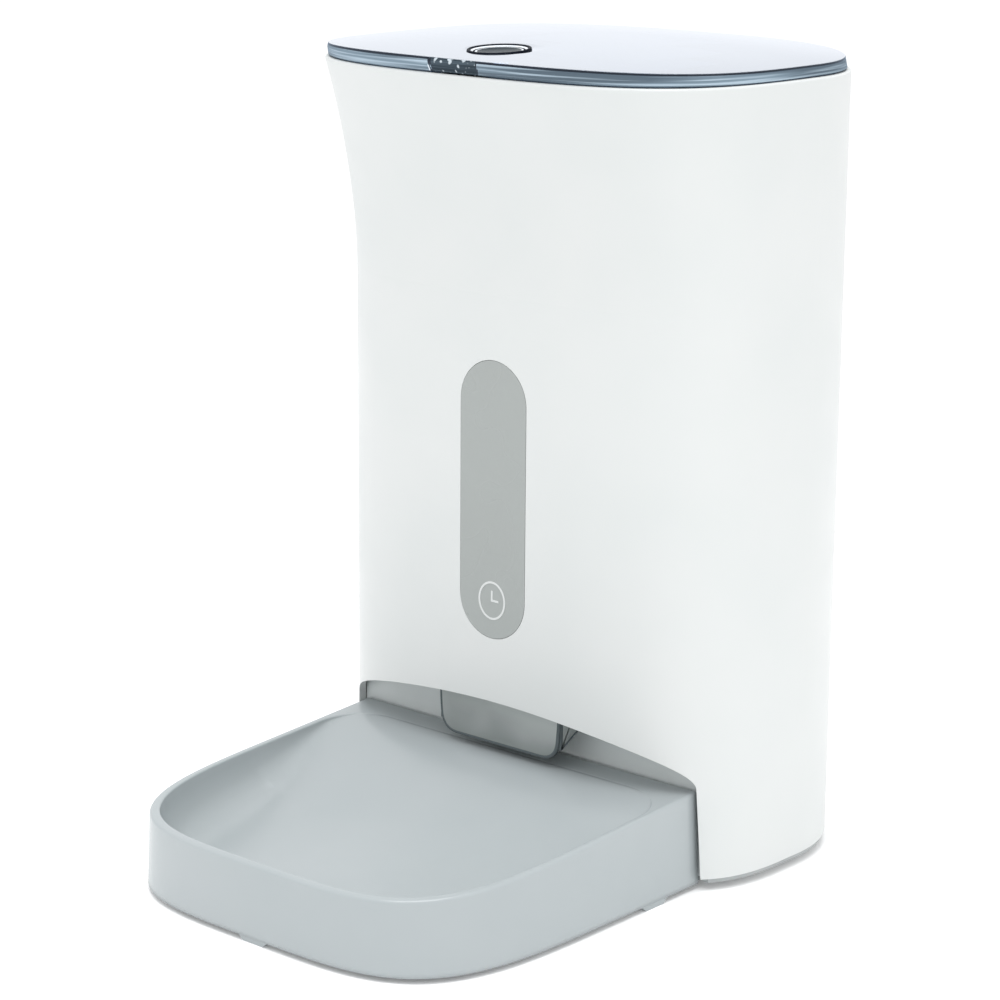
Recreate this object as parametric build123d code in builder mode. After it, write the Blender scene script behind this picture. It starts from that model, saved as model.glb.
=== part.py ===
"""Automatic pet feeder: a tall hopper body with a hinged lid, a powered dispenser and a
pull-out bowl.  Millimetres, +Z up, front towards -Y, origin on the floor under the middle."""

import math
import os

from build123d import *

os.makedirs("parts", exist_ok=True)

# ---------------------------------------------------------------- driving dimensions
# body outline: a superellipse whose front and back halves differ
body_half_width = 107.4
body_half_depth = 69.6
body_centre_y = 70.1
front_power = 3.32
back_power = 2.35
shell_bottom = 5.2
shell_top = 326.9
flare_start = 236.5
flare_end = 333.0
flare_reach = 28.1
flare_power = 1.685
shell_wall = 2.6
shell_rim_radius = 1.0

# arched opening over the bowl, and the recess behind it
arch_half_width = 94.0
arch_spring_height = 43.6
arch_rise = 21.5
arch_foot_half_width = 96.0
recess_wall_y = 23.9
recess_wall = 2.2
recess_half_width = 96.6
recess_ceiling = 68.0

# lid
lid_edge_top = 331.8
lid_rise = 5.5
lid_dome_power = 2.5
lid_plate = 3.0
lid_skirt = 2.6
lid_edge_inset = 1.5
lid_top_inset = 2.4
lid_edge_radius = 1.4
button_y = body_centre_y - body_half_depth + 2.2
button_radius = 10.0
button_sunk = 0.9
bezel_radius = 12.9
bezel_width = 2.6
button_travel = 2.2
latch_half_width = 12.5

# hinge
hinge_y = body_centre_y + body_half_depth - 3.1
hinge_z = 323.4
hinge_radius = 2.8
hinge_pin_radius = 1.25
lid_knuckle_half = 15.0
ear_half = 30.0

# front panel
panel_width = 35.5
panel_height = 117.5
panel_centre_z = 151.2
icon_centre_z = 108.8
icon_width = 14.6
icon_height = 16.4
icon_line = 0.9

# bowl
bowl_half_width = 93.05
bowl_front_y = -139.7
bowl_front_length = 114.0
bowl_power = 4.0
bowl_draft = 1.43
bowl_bottom = 2.35
bowl_rear_rim = 41.7
bowl_rim_slope = 0.057
bowl_wall = 2.6
basin_rim_inset = 3.6
basin_floor_inset = 10.0
basin_rear_y = 11.0
basin_rear_corner = 22.0
basin_depth = 23.0
basin_run = 52.0
basin_low = 8.0
basin_high = 46.0

# dispenser
pan_radius = 49.3
pan_wall = 2.2
pan_floor_z = 105.0
pan_floor = 2.5
pan_top = 136.2
pan_flange = 5.5
vane_count = 6
vane_thickness = 2.2
vane_reach = pan_radius - 2.8
rotor_height = 24.0
hub_radius = 13.0
shaft_radius = 4.0
gear_module = 1.25
gear_teeth = 36
pinion_teeth = 12
gear_thickness = 6.0
gear_z = 92.5

# chute
chute_front_y = 5.2
chute_half_width = 33.4
chute_bottom = 44.5
chute_wall = 1.8
chute_corner = 9.0

# hopper
hopper_wall = 2.0
hopper_top = 315.8
hopper_half_width = 97.0
hopper_back_depth = 60.0
hopper_front_depth = 57.0
hopper_shoulder = 205.0

# base, battery bay and feet
base_bottom = 3.2
base_inset = 1.0
base_floor = 2.0
bay_half_width = 52.0
bay_front_y = 42.0
bay_length = 66.0
bay_height = 36.0
bay_wall = 2.0
door_lip = 2.0
foot_radius = 7.0

# clearances
fit_gap = 0.3
running_gap = 0.05
slide_gap = 0.2


# ---------------------------------------------------------------- shared shapes
def flare(height):
    """How far the front leans out beyond the straight wall at a height."""
    rise = max(0.0, height - flare_start) / (flare_end - flare_start)
    return flare_reach * rise**flare_power


def superellipse(angle, half_width, depth, power):
    """The point of a superellipse that lies in the direction of an angle from its centre."""
    cosine, sine = math.cos(angle), math.sin(angle)
    reach = (abs(cosine / half_width) ** power + abs(sine / depth) ** power) ** (-1 / power)
    return (reach * cosine, reach * sine)


def ring_points(half_width, front_depth, back_depth, powers, count=48):
    """Points round a superellipse; powers holds the front half's and the back half's."""
    points = []
    for step in range(count):
        angle = 2 * math.pi * step / count
        in_front = step > count / 2
        depth = front_depth if in_front else back_depth
        x, y = superellipse(angle, half_width, depth, powers[0] if in_front else powers[1])
        points.append((x, y + body_centre_y))
    return points


def body_points(height, inset):
    """The body's outline at a height, moved in by inset."""
    return ring_points(
        body_half_width - inset,
        body_half_depth + flare(height) - inset,
        body_half_depth - inset,
        (front_power, back_power),
    )


def ring_sketch(points, height):
    """A flat face inside a closed smooth ring of points."""
    with BuildSketch(Plane.XY.offset(height)) as ring:
        with BuildLine():
            Spline(*points, periodic=True)
        make_face()
    return ring.sketch


def ring_loft(sections, ruled=False):
    """A solid through closed rings; sections holds (height, points) pairs."""
    with BuildPart() as solid:
        loft([ring_sketch(points, height) for height, points in sections], ruled=ruled)
    return solid.part


def body_block(low, high, inset, top_inset=None):
    """The body's solid outline between two heights, with its flare where it has one."""
    last_inset = inset if top_inset is None else top_inset
    straight_top = min(high, flare_start)
    pieces = []
    if low < flare_start:
        with BuildPart() as straight:
            add(ring_sketch(body_points(low, inset), low))
            extrude(amount=straight_top - low)
        pieces.append(straight.part)
    if high > flare_start:
        start = max(low, flare_start)
        steps = 6 if high - start > 20 else 2
        sections = []
        for step in range(steps + 1):
            share = step / steps
            height = start + (high - start) * share
            sections.append((height, body_points(height, inset + (last_inset - inset) * share)))
        pieces.append(ring_loft(sections))
    with BuildPart() as block:
        for piece in pieces:
            add(piece)
    return block.part


def dome_height(reach):
    """Rise of the lid's dome at a share of the way from its middle to its edge."""
    return lid_rise * (1 - reach**lid_dome_power)


def dome_block(low, drop, inset, top_inset):
    """The lid's outline with its domed top, lowered by drop."""
    edge_points = body_points(lid_edge_top - drop, top_inset)
    sections = []
    for reach in (1.0, 0.94, 0.86, 0.76, 0.64, 0.5, 0.34, 0.16, 0.04):
        ring = [
            (x * reach, body_centre_y + (y - body_centre_y) * reach) for x, y in edge_points
        ]
        sections.append((lid_edge_top - drop + dome_height(reach), ring))
    with BuildPart() as block:
        add(body_block(low, lid_edge_top - drop, inset, top_inset))
        add(ring_loft(sections))
    return block.part


def body_place(angle, inset, height=0.0):
    """A point on the body's outline, moved in by inset; angle 0 is +X and 90 the back."""
    in_front = math.sin(math.radians(angle)) < 0
    depth = body_half_depth - inset + (flare(height) if in_front else 0.0)
    power = front_power if in_front else back_power
    x, y = superellipse(math.radians(angle), body_half_width - inset, depth, power)
    return (x, y + body_centre_y)


def box_between(low, high):
    """A plain box from its lowest to its highest corner."""
    size = [high[i] - low[i] for i in range(3)]
    with BuildPart(Plane(origin=[(low[i] + high[i]) / 2 for i in range(3)])) as block:
        Box(*size)
    return block.part


def rod(place, radius, low, high):
    """An upright round rod between two heights."""
    with BuildPart() as bar:
        with BuildSketch(Plane.XY.offset(low)):
            with Locations(place):
                Circle(radius)
        extrude(amount=high - low)
    return bar.part


def coil(radius, pitch, height, wire):
    """A spring wound round +Z from z = 0."""
    with BuildPart() as winding:
        with BuildLine() as path:
            Helix(pitch, height, radius)
        with BuildSketch(Plane(origin=path.line @ 0, z_dir=path.line % 0)):
            Circle(wire / 2)
        sweep()
    return winding.part


def gear_outline(place, teeth, module, backlash=0.22, start_angle=0.0):
    """Corner points of an involute spur gear about a place, pressure angle 20 degrees."""
    pitch_radius = teeth * module / 2
    base_radius = pitch_radius * math.cos(math.radians(20))
    tip_radius = pitch_radius + module
    root_radius = pitch_radius - 1.3 * module
    pitch_roll = math.tan(math.radians(20)) - math.radians(20)
    half_tooth = math.pi / (2 * teeth) - backlash / (2 * pitch_radius)
    low_radius = max(base_radius, root_radius)
    flank = []
    for step in range(5):
        radius = low_radius + (tip_radius - low_radius) * step / 4
        slope = math.acos(min(1.0, base_radius / radius))
        half_angle = half_tooth + pitch_roll - (math.tan(slope) - slope)
        flank.append((radius, half_angle))
    foot = (root_radius, flank[0][1])
    side = [foot] + flank if root_radius < low_radius else flank
    points = []
    for tooth in range(teeth):
        middle = start_angle + 2 * math.pi * tooth / teeth
        for radius, half_angle in side:
            points.append((radius, middle - half_angle))
        for radius, half_angle in reversed(side):
            points.append((radius, middle + half_angle))
    return [
        (place[0] + radius * math.cos(turn), place[1] + radius * math.sin(turn))
        for radius, turn in points
    ]


def finish(solid, name):
    """Label a piece and write it."""
    solid.label = name
    export_step(solid, f"parts/{name}.step")


# ---------------------------------------------------------------- derived sizes
wall_inner = shell_wall + fit_gap
frame_top = shell_top - 0.5
frame_bottom = hopper_top
frame_inner_inset = 10.0
lid_bottom = shell_top + 0.5
lid_underside = lid_edge_top - lid_plate
lid_peak = lid_edge_top + lid_rise
front_face_y = body_centre_y - body_half_depth
panel_depth = shell_wall + fit_gap
gear_radius = gear_teeth * gear_module / 2
pinion_radius = pinion_teeth * gear_module / 2
pan_place = (0.0, body_centre_y)
motor_place = (0.0, body_centre_y + gear_radius + pinion_radius)
floor_top = pan_floor_z + pan_floor
rotor_bottom = floor_top + 0.5
rotor_top = rotor_bottom + rotor_height
bay_bottom = shell_bottom + base_floor
bay_back_y = bay_front_y + bay_length
boss_angles = (-20.0, 37.0, 143.0, 200.0)
boss_inset = shell_wall + 3.0
boss_radius = 4.2
screw_radius = 1.5
screw_head_radius = 2.9
socket_z = 24.0
socket_half_width = 6.0
socket_half_height = 3.2
bowl_rear_y = recess_wall_y - fit_gap
exit_inner_radius = 25.0
exit_outer_radius = 47.0
exit_half_angle = 36.0
bracket_z = 86.0
bracket_thickness = 2.5
frame_screw_angles = (20.0, 55.0, 125.0, 160.0, 215.0, 325.0)
frame_screw_inset = 6.2

# ---------------------------------------------------------------- housing shell
shell_outer = body_block(shell_bottom, shell_top, 0.0)
shell_cavity = body_block(shell_bottom - 1, shell_top + 1, shell_wall)

with BuildPart() as housing_shell:
    add(shell_outer)
    rim_edges = housing_shell.edges().group_by(Axis.Z)[-1]
    fillet(rim_edges, shell_rim_radius)
    add(shell_cavity, mode=Mode.SUBTRACT)
    # arched opening for the bowl
    with BuildSketch(Plane.XZ.offset(-body_centre_y)):
        with BuildLine():
            arch = EllipticalCenterArc(
                (0, arch_spring_height), arch_half_width, arch_rise, start_angle=0, arc_size=180
            )
            foot_left = Line(arch @ 1, (-arch_foot_half_width, 0))
            sill = Line(foot_left @ 1, (arch_foot_half_width, 0))
            Line(sill @ 1, arch @ 0)
        make_face()
    extrude(amount=2 * body_centre_y, mode=Mode.SUBTRACT)
    # slot for the front panel
    with BuildSketch(Plane.XZ.offset(-2 * shell_wall - front_face_y)):
        with Locations((0, panel_centre_z)):
            SlotOverall(panel_height, panel_width, rotation=90)
    extrude(amount=6 * shell_wall, mode=Mode.SUBTRACT)
    # notch for the hinge, and the mouth for the power socket
    add(
        box_between(
            (-ear_half - 1, hinge_y - 6, hinge_z - hinge_radius - 0.8),
            (ear_half + 1, body_centre_y + body_half_depth + 1, shell_top + 1),
        ),
        mode=Mode.SUBTRACT,
    )
    add(
        box_between(
            (-socket_half_width - fit_gap, hinge_y - 20, socket_z - socket_half_height - fit_gap),
            (
                socket_half_width + fit_gap,
                body_centre_y + body_half_depth + 1,
                socket_z + socket_half_height + fit_gap,
            ),
        ),
        mode=Mode.SUBTRACT,
    )
    # screw bosses standing on the base plate
    for angle in boss_angles:
        add(rod(body_place(angle, boss_inset), boss_radius, bay_bottom, bay_bottom + 26))
    for angle in boss_angles:
        pilot = rod(body_place(angle, boss_inset), screw_radius, bay_bottom - 1, bay_bottom + 20)
        add(pilot, mode=Mode.SUBTRACT)
finish(housing_shell.part, "housing_shell")

# ---------------------------------------------------------------- base plate
base_outline = body_block(base_bottom, shell_bottom, base_inset)
base_plug = body_block(shell_bottom, bay_bottom, shell_wall + slide_gap)
channel_half = bay_half_width + 4.0
channel_front_y = bay_front_y - 4.0
back_edge_y = body_centre_y + body_half_depth - base_inset
tongue_bottom = base_bottom + 1.0

with BuildPart() as base_plate:
    add(base_outline)
    add(base_plug)
    add(
        box_between(
            (-recess_half_width - 0.4, -60, base_bottom - 1),
            (recess_half_width + 0.4, recess_wall_y + fit_gap, bay_bottom + 1),
        ),
        mode=Mode.SUBTRACT,
    )
    # the recess panel stands on the lower flange
    add(
        box_between(
            (-body_half_width, -60, shell_bottom),
            (body_half_width, recess_wall_y + recess_wall + fit_gap, bay_bottom + 1),
        ),
        mode=Mode.SUBTRACT,
    )
    # channel in which the battery door slides out of the back, wider above for its tongues
    add(
        box_between(
            (-channel_half, channel_front_y, base_bottom - 1),
            (channel_half, back_edge_y + 5, shell_bottom),
        ),
        mode=Mode.SUBTRACT,
    )
    add(
        box_between(
            (-channel_half - door_lip, channel_front_y, tongue_bottom),
            (channel_half + door_lip, back_edge_y + 5, shell_bottom),
        ),
        mode=Mode.SUBTRACT,
    )
    # battery opening
    add(
        box_between(
            (-bay_half_width, bay_front_y, shell_bottom - 1),
            (bay_half_width, bay_back_y, bay_bottom + 1),
        ),
        mode=Mode.SUBTRACT,
    )
    # sunk screws
    for angle in boss_angles:
        place = body_place(angle, boss_inset)
        add(rod(place, screw_radius, base_bottom - 1, bay_bottom + 1), mode=Mode.SUBTRACT)
        add(rod(place, screw_head_radius, base_bottom - 1, base_bottom + 2), mode=Mode.SUBTRACT)
    # posts under the two circuit boards
    for place in ((64, 56), (79, 56), (64, 104), (79, 104)):
        add(rod(place, 2.0, bay_bottom, bay_bottom + 6))
    for place in ((-9, 117), (9, 117)):
        add(rod(place, 2.0, bay_bottom, socket_z - socket_half_height - 1.6))
finish(base_plate.part, "base_plate")

with BuildPart() as base_screws:
    for angle in boss_angles:
        place = body_place(angle, boss_inset)
        add(rod(place, screw_head_radius, base_bottom + 0.3, base_bottom + 2))
        add(rod(place, screw_radius, base_bottom + 2, bay_bottom + 12))
finish(base_screws.part, "base_screws")

feet_places = ((-80, 44), (80, 44), (-79, 98), (79, 98))
with BuildPart() as rubber_feet:
    for place in feet_places:
        with BuildSketch(Plane.XY.offset(base_bottom)):
            with Locations(place):
                Circle(foot_radius)
        extrude(amount=-base_bottom, taper=8)
finish(rubber_feet.part, "rubber_feet")

# ---------------------------------------------------------------- battery bay
with BuildPart() as battery_box:
    add(
        box_between(
            (-bay_half_width - bay_wall, bay_front_y - bay_wall, bay_bottom),
            (bay_half_width + bay_wall, bay_back_y + bay_wall, bay_bottom + bay_height + bay_wall),
        )
    )
    add(
        box_between(
            (-bay_half_width, bay_front_y, bay_bottom - 1),
            (bay_half_width, bay_back_y, bay_bottom + bay_height),
        ),
        mode=Mode.SUBTRACT,
    )
    # ridges between the three cells
    for x in (-bay_half_width / 3, bay_half_width / 3):
        add(
            box_between(
                (x - 0.8, bay_front_y, bay_bottom + bay_height - 9),
                (x + 0.8, bay_back_y, bay_bottom + bay_height),
            )
        )
finish(battery_box.part, "battery_box")

cell_height = bay_bottom + bay_height / 2
cell_places = (-bay_half_width * 2 / 3, 0.0, bay_half_width * 2 / 3)
contact_plate = 0.6
spring_wire = 1.0
spring_length = 8.0
spring_coil = coil(6.0, 2.5, spring_length, spring_wire)

with BuildPart() as battery_contacts:
    for x in cell_places:
        add(
            box_between(
                (x - 9, bay_front_y, cell_height - 9),
                (x + 9, bay_front_y + contact_plate, cell_height + 9),
            )
        )
        add(
            box_between(
                (x - 9, bay_back_y - contact_plate, cell_height - 9),
                (x + 9, bay_back_y, cell_height + 9),
            )
        )
        spring_seat = Plane(
            origin=(x, bay_front_y + contact_plate + spring_wire / 2 - 0.1, cell_height),
            z_dir=(0, 1, 0),
        )
        add(spring_seat * spring_coil)
finish(battery_contacts.part, "battery_contacts")

with BuildPart() as battery_door:
    add(
        box_between(
            (-channel_half + fit_gap, channel_front_y + fit_gap, base_bottom + slide_gap),
            (channel_half - fit_gap, back_edge_y + 5, shell_bottom - slide_gap),
        )
    )
    add(
        box_between(
            (
                -channel_half - door_lip + fit_gap,
                channel_front_y + fit_gap,
                tongue_bottom + slide_gap,
            ),
            (channel_half + door_lip - fit_gap, back_edge_y + 5, shell_bottom - slide_gap),
        )
    )
    add(base_outline, mode=Mode.INTERSECT)
    # finger grooves across the underside
    for step in range(5):
        y = 112 + 3.5 * step
        add(
            box_between(
                (-18, y, base_bottom),
                (18, y + 1.6, base_bottom + slide_gap + 0.6),
            ),
            mode=Mode.SUBTRACT,
        )
finish(battery_door.part, "battery_door")

# ---------------------------------------------------------------- recess and front panel
recess_top = recess_ceiling + recess_wall
recess_block = body_block(shell_bottom, recess_top, wall_inner)
chute_slot_half = chute_half_width + 0.4

with BuildPart() as recess_panel:
    add(recess_block)
    add(
        box_between(
            (-body_half_width, recess_wall_y + recess_wall, 0),
            (body_half_width, 200, recess_top + 1),
        ),
        mode=Mode.SUBTRACT,
    )
    add(
        box_between((-recess_half_width, -60, 0), (recess_half_width, recess_wall_y, recess_ceiling)),
        mode=Mode.SUBTRACT,
    )
    # way through for the chute
    add(
        box_between(
            (-chute_slot_half, chute_front_y - 0.4, 58.2),
            (chute_slot_half, recess_wall_y + 8, recess_top + 1),
        ),
        mode=Mode.SUBTRACT,
    )
    # clear of the shell's screw bosses
    for angle in boss_angles:
        boss_room = rod(body_place(angle, boss_inset), boss_radius + fit_gap, 0, recess_top + 1)
        add(boss_room, mode=Mode.SUBTRACT)
finish(recess_panel.part, "recess_panel")

with BuildPart() as front_panel:
    with BuildSketch(Plane.XZ.offset(-front_face_y)):
        with Locations((0, panel_centre_z)):
            SlotOverall(panel_height - 2 * slide_gap, panel_width - 2 * slide_gap, rotation=90)
    extrude(amount=-panel_depth)
    with BuildSketch(Plane.XZ.offset(-front_face_y - panel_depth)):
        with Locations((0, panel_centre_z)):
            SlotOverall(panel_height + 4, panel_width + 4, rotation=90)
    extrude(amount=-1.2)
    # posts that carry the display board
    with BuildSketch(Plane.XZ.offset(-front_face_y - panel_depth - 1.2)):
        for z in (panel_centre_z - 36, panel_centre_z + 44):
            with Locations((-11, z), (11, z)):
                Circle(1.6)
    extrude(amount=-1.0)
finish(front_panel.part, "front_panel")

board_y = front_face_y + panel_depth + 1.2 + 1.0
with BuildPart() as display_board:
    add(box_between((-14, board_y, 106), (14, board_y + 1.6, 200)))
    add(box_between((-9, board_y + 1.6, 120), (9, board_y + 3.2, 138)))
    add(box_between((-6, board_y + 1.6, 170), (6, board_y + 4.6, 176)))
finish(display_board.part, "display_board")

with BuildPart() as panel_icon:
    # thin printed ring with two clock hands, standing just proud of the panel
    with BuildSketch(Plane.XZ.offset(-front_face_y)):
        with Locations((0, icon_centre_z)):
            Ellipse(icon_width / 2, icon_height / 2)
            Ellipse(icon_width / 2 - icon_line, icon_height / 2 - icon_line, mode=Mode.SUBTRACT)
    extrude(amount=0.15)
    with BuildSketch(Plane.XZ.offset(-front_face_y)):
        with Locations((0, icon_centre_z + 1.9)):
            Rectangle(icon_line, 4.7)
        with Locations((1.6, icon_centre_z)):
            Rectangle(4.1, icon_line)
    extrude(amount=0.15)
finish(panel_icon.part, "panel_icon")

# ---------------------------------------------------------------- outlet chute
chute_top = pan_floor_z - fit_gap
chute_back_y = body_centre_y - gear_radius - gear_module - 1.0
wing_front_z = 50.4
wing_wall_z = 59.4
slide_top_z = 98.0

with BuildPart() as outlet_chute:
    # front plate, slightly narrower towards its rounded lower corners
    with BuildSketch(Plane.XZ.offset(-chute_front_y)) as plate:
        with BuildLine():
            Polyline(
                (-chute_half_width + 1.4, chute_bottom),
                (chute_half_width - 1.4, chute_bottom),
                (chute_half_width, 62),
                (chute_half_width, chute_top),
                (-chute_half_width, chute_top),
                (-chute_half_width, 62),
                close=True,
            )
        make_face()
        fillet(plate.vertices().group_by(Axis.Y)[0], chute_corner)
    extrude(amount=-chute_wall)
    # side wings
    for side in (-1, 1):
        wing_x = side * (chute_half_width - chute_wall / 2)
        with BuildSketch(Plane.YZ.offset(wing_x - chute_wall / 2)):
            with BuildLine():
                Polyline(
                    (chute_front_y + chute_wall / 2, 54.0),
                    (recess_wall_y, wing_wall_z),
                    (chute_back_y, slide_top_z),
                    (chute_back_y, chute_top),
                    (chute_front_y + chute_wall / 2, chute_top),
                    close=True,
                )
            make_face()
        extrude(amount=chute_wall)
    # sloping floor between the wings
    with BuildSketch(Plane.YZ.offset(-chute_half_width + chute_wall / 2)):
        with BuildLine():
            Polyline(
                (recess_wall_y, wing_wall_z),
                (chute_back_y, slide_top_z),
                (chute_back_y, chute_top),
                (chute_back_y - chute_wall, chute_top),
                (chute_back_y - chute_wall, slide_top_z + 0.6),
                (recess_wall_y, wing_wall_z + 3.7),
                close=True,
            )
        make_face()
    extrude(amount=2 * chute_half_width - chute_wall)
finish(outlet_chute.part, "outlet_chute")

with BuildPart() as outlet_sensors:
    for side in (-1, 1):
        face_x = side * chute_half_width
        far_x = side * (chute_half_width + 6)
        add(box_between((min(face_x, far_x), 24, 82), (max(face_x, far_x), 31, 90)))
finish(outlet_sensors.part, "outlet_sensors")

# ---------------------------------------------------------------- hopper
def hopper_points(height, inset):
    """The hopper's outline: straight above its shoulder and a funnel to the pan below it."""
    neck = pan_radius + hopper_wall
    low = pan_top
    share = min(1.0, (height - low) / (hopper_shoulder - low))
    front = hopper_front_depth + 0.9 * flare(height)
    powers = (2 + (front_power - 2) * share, 2 + (back_power - 2) * share)
    return ring_points(
        neck + (hopper_half_width - neck) * share - inset,
        neck + (front - neck) * share - inset,
        neck + (hopper_back_depth - neck) * share - inset,
        powers,
    )


def hopper_block(inset, low, high):
    """The hopper's solid outline between two heights, moved in by inset."""
    heights = [low, pan_top + 24, pan_top + 46, hopper_shoulder, flare_start, 262, 288, high]
    return ring_loft([(height, hopper_points(height, inset)) for height in heights], ruled=True)


hopper_outer = hopper_block(0.0, pan_top, hopper_top)
hopper_inner = hopper_block(hopper_wall, pan_top, hopper_top)
flange_outer = body_block(hopper_top - 2.4, hopper_top, wall_inner)

with BuildPart() as hopper:
    add(hopper_outer)
    add(flange_outer)
    add(rod(pan_place, pan_radius + pan_wall + pan_flange, pan_top, pan_top + pan_wall))
    add(hopper_inner, mode=Mode.SUBTRACT)
    for angle in frame_screw_angles:
        place = body_place(angle, frame_screw_inset, hopper_top)
        add(rod(place, screw_radius, hopper_top - 5, hopper_top + 1), mode=Mode.SUBTRACT)
finish(hopper.part, "hopper")

# ---------------------------------------------------------------- top frame with hinge ears
frame_outer = body_block(frame_bottom, frame_top, wall_inner)
frame_opening = body_block(frame_bottom - 1, frame_top + 1, frame_inner_inset)
keeper_z = 321.6
keeper_half_height = 1.7
keeper_front_y = body_centre_y - body_half_depth - flare(keeper_z) + frame_inner_inset

with BuildPart() as top_frame:
    add(frame_outer)
    add(frame_opening, mode=Mode.SUBTRACT)
    # room for the lid's knuckle
    add(
        box_between(
            (-ear_half - 1, hinge_y - hinge_radius - 0.6, hinge_z - hinge_radius - 0.6),
            (ear_half + 1, 200, frame_top + 1),
        ),
        mode=Mode.SUBTRACT,
    )
    for side in (-1, 1):
        inner_x = side * (lid_knuckle_half + 0.3)
        outer_x = side * ear_half
        with BuildSketch(Plane.YZ.offset(min(inner_x, outer_x))):
            with Locations((hinge_y, hinge_z)):
                Circle(hinge_radius)
            with Locations((hinge_y - 1.7, hinge_z - hinge_radius / 2)):
                Rectangle(3.4, hinge_radius)
        extrude(amount=ear_half - lid_knuckle_half - 0.3)
    with BuildSketch(Plane.YZ.offset(-ear_half - 1)):
        with Locations((hinge_y, hinge_z)):
            Circle(hinge_pin_radius)
    extrude(amount=2 * ear_half + 2, mode=Mode.SUBTRACT)
    # keeper pocket for the latch
    add(
        box_between(
            (-9, keeper_front_y - 3.5, keeper_z - keeper_half_height),
            (9, keeper_front_y + 4, keeper_z + keeper_half_height),
        ),
        mode=Mode.SUBTRACT,
    )
    for angle in frame_screw_angles:
        place = body_place(angle, frame_screw_inset, hopper_top)
        add(rod(place, screw_radius, frame_bottom - 1, frame_top + 1), mode=Mode.SUBTRACT)
        add(rod(place, screw_head_radius, frame_top - 2, frame_top + 1), mode=Mode.SUBTRACT)
finish(top_frame.part, "top_frame")

with BuildPart() as frame_screws:
    for angle in frame_screw_angles:
        place = body_place(angle, frame_screw_inset, hopper_top)
        add(rod(place, screw_head_radius, frame_top - 2, frame_top - 0.2))
        add(rod(place, screw_radius, hopper_top - 4, frame_top - 2))
finish(frame_screws.part, "frame_screws")

with BuildPart() as hinge_pin:
    with BuildSketch(Plane.YZ.offset(-ear_half)):
        with Locations((hinge_y, hinge_z)):
            Circle(hinge_pin_radius)
    extrude(amount=2 * ear_half)
finish(hinge_pin.part, "hinge_pin")

# ---------------------------------------------------------------- dispenser
pan_outer_radius = pan_radius + pan_wall
bush_radius = 7.0
bush_flange = 3.0

with BuildPart() as dispenser_pan:
    add(rod(pan_place, pan_outer_radius, pan_floor_z, pan_top))
    add(rod(pan_place, pan_outer_radius + pan_flange, pan_top - pan_wall, pan_top))
    add(rod(pan_place, pan_radius, floor_top, pan_top + 1), mode=Mode.SUBTRACT)
    add(rod(pan_place, bush_radius, pan_floor_z - 1, floor_top + 1), mode=Mode.SUBTRACT)
    # outlet in the front of the floor
    with BuildSketch(Plane.XY.offset(pan_floor_z - 1)):
        with BuildLine():
            start = 270 - exit_half_angle
            inner = CenterArc(pan_place, exit_inner_radius, start, 2 * exit_half_angle)
            outer = CenterArc(pan_place, exit_outer_radius, start, 2 * exit_half_angle)
            Line(inner @ 0, outer @ 0)
            Line(inner @ 1, outer @ 1)
        make_face()
    extrude(amount=pan_floor + 2, mode=Mode.SUBTRACT)
finish(dispenser_pan.part, "dispenser_pan")

with BuildPart() as pan_bush:
    add(rod(pan_place, bush_radius, gear_z + gear_thickness + 0.8, floor_top))
    add(rod(pan_place, bush_radius + bush_flange, pan_floor_z - 2, pan_floor_z))
    add(
        rod(pan_place, shaft_radius + running_gap, gear_z, floor_top + 1),
        mode=Mode.SUBTRACT,
    )
finish(pan_bush.part, "pan_bush")

with BuildPart() as rotor_shaft:
    add(rod(pan_place, shaft_radius, bracket_z + 0.3, rotor_top + 3))
finish(rotor_shaft.part, "rotor_shaft")

with BuildPart() as rotor:
    add(rod(pan_place, hub_radius, rotor_bottom, rotor_top))
    with BuildSketch(Plane.XY.offset(rotor_bottom)):
        with Locations(pan_place):
            with PolarLocations(0, vane_count, start_angle=30):
                with Locations((vane_reach / 2, 0)):
                    Rectangle(vane_reach, vane_thickness)
    extrude(amount=rotor_height)
    add(rod(pan_place, shaft_radius, rotor_bottom - 1, rotor_top + 1), mode=Mode.SUBTRACT)
finish(rotor.part, "rotor")

with BuildPart() as vane_wipers:
    wiper_length = pan_radius - 0.4 - vane_reach
    with BuildSketch(Plane.XY.offset(rotor_bottom)):
        with Locations(pan_place):
            with PolarLocations(0, vane_count, start_angle=30):
                with Locations((vane_reach + wiper_length / 2, 0)):
                    Rectangle(wiper_length, vane_thickness + 0.8)
    extrude(amount=rotor_height - 2)
finish(vane_wipers.part, "vane_wipers")

with BuildPart() as stirrer:
    with BuildSketch(Plane.XY.offset(rotor_top)):
        with Locations(pan_place):
            Circle(hub_radius)
    extrude(amount=14, taper=30)
    with BuildSketch(Plane.XY.offset(rotor_top + 4)):
        with Locations(pan_place):
            Rectangle(66, 5)
    extrude(amount=3)
    with BuildSketch(Plane.XY.offset(rotor_top + 4)):
        with Locations((-30.5, body_centre_y), (30.5, body_centre_y)):
            Rectangle(5, 5)
    extrude(amount=16)
    add(rod(pan_place, shaft_radius, rotor_top - 1, rotor_top + 3), mode=Mode.SUBTRACT)
finish(stirrer.part, "stirrer")

with BuildPart() as drive_gear:
    with BuildSketch(Plane.XY.offset(gear_z)):
        with BuildLine():
            Polyline(
                *gear_outline(pan_place, gear_teeth, gear_module, start_angle=math.pi / gear_teeth),
                close=True,
            )
        make_face()
    extrude(amount=gear_thickness)
    # lightening holes
    with BuildSketch(Plane.XY.offset(gear_z)):
        with Locations(pan_place):
            with PolarLocations(13.5, 5):
                Circle(3.6)
    extrude(amount=gear_thickness, mode=Mode.SUBTRACT)
    add(rod(pan_place, shaft_radius, gear_z - 1, gear_z + gear_thickness + 1), mode=Mode.SUBTRACT)
finish(drive_gear.part, "drive_gear")

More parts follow.
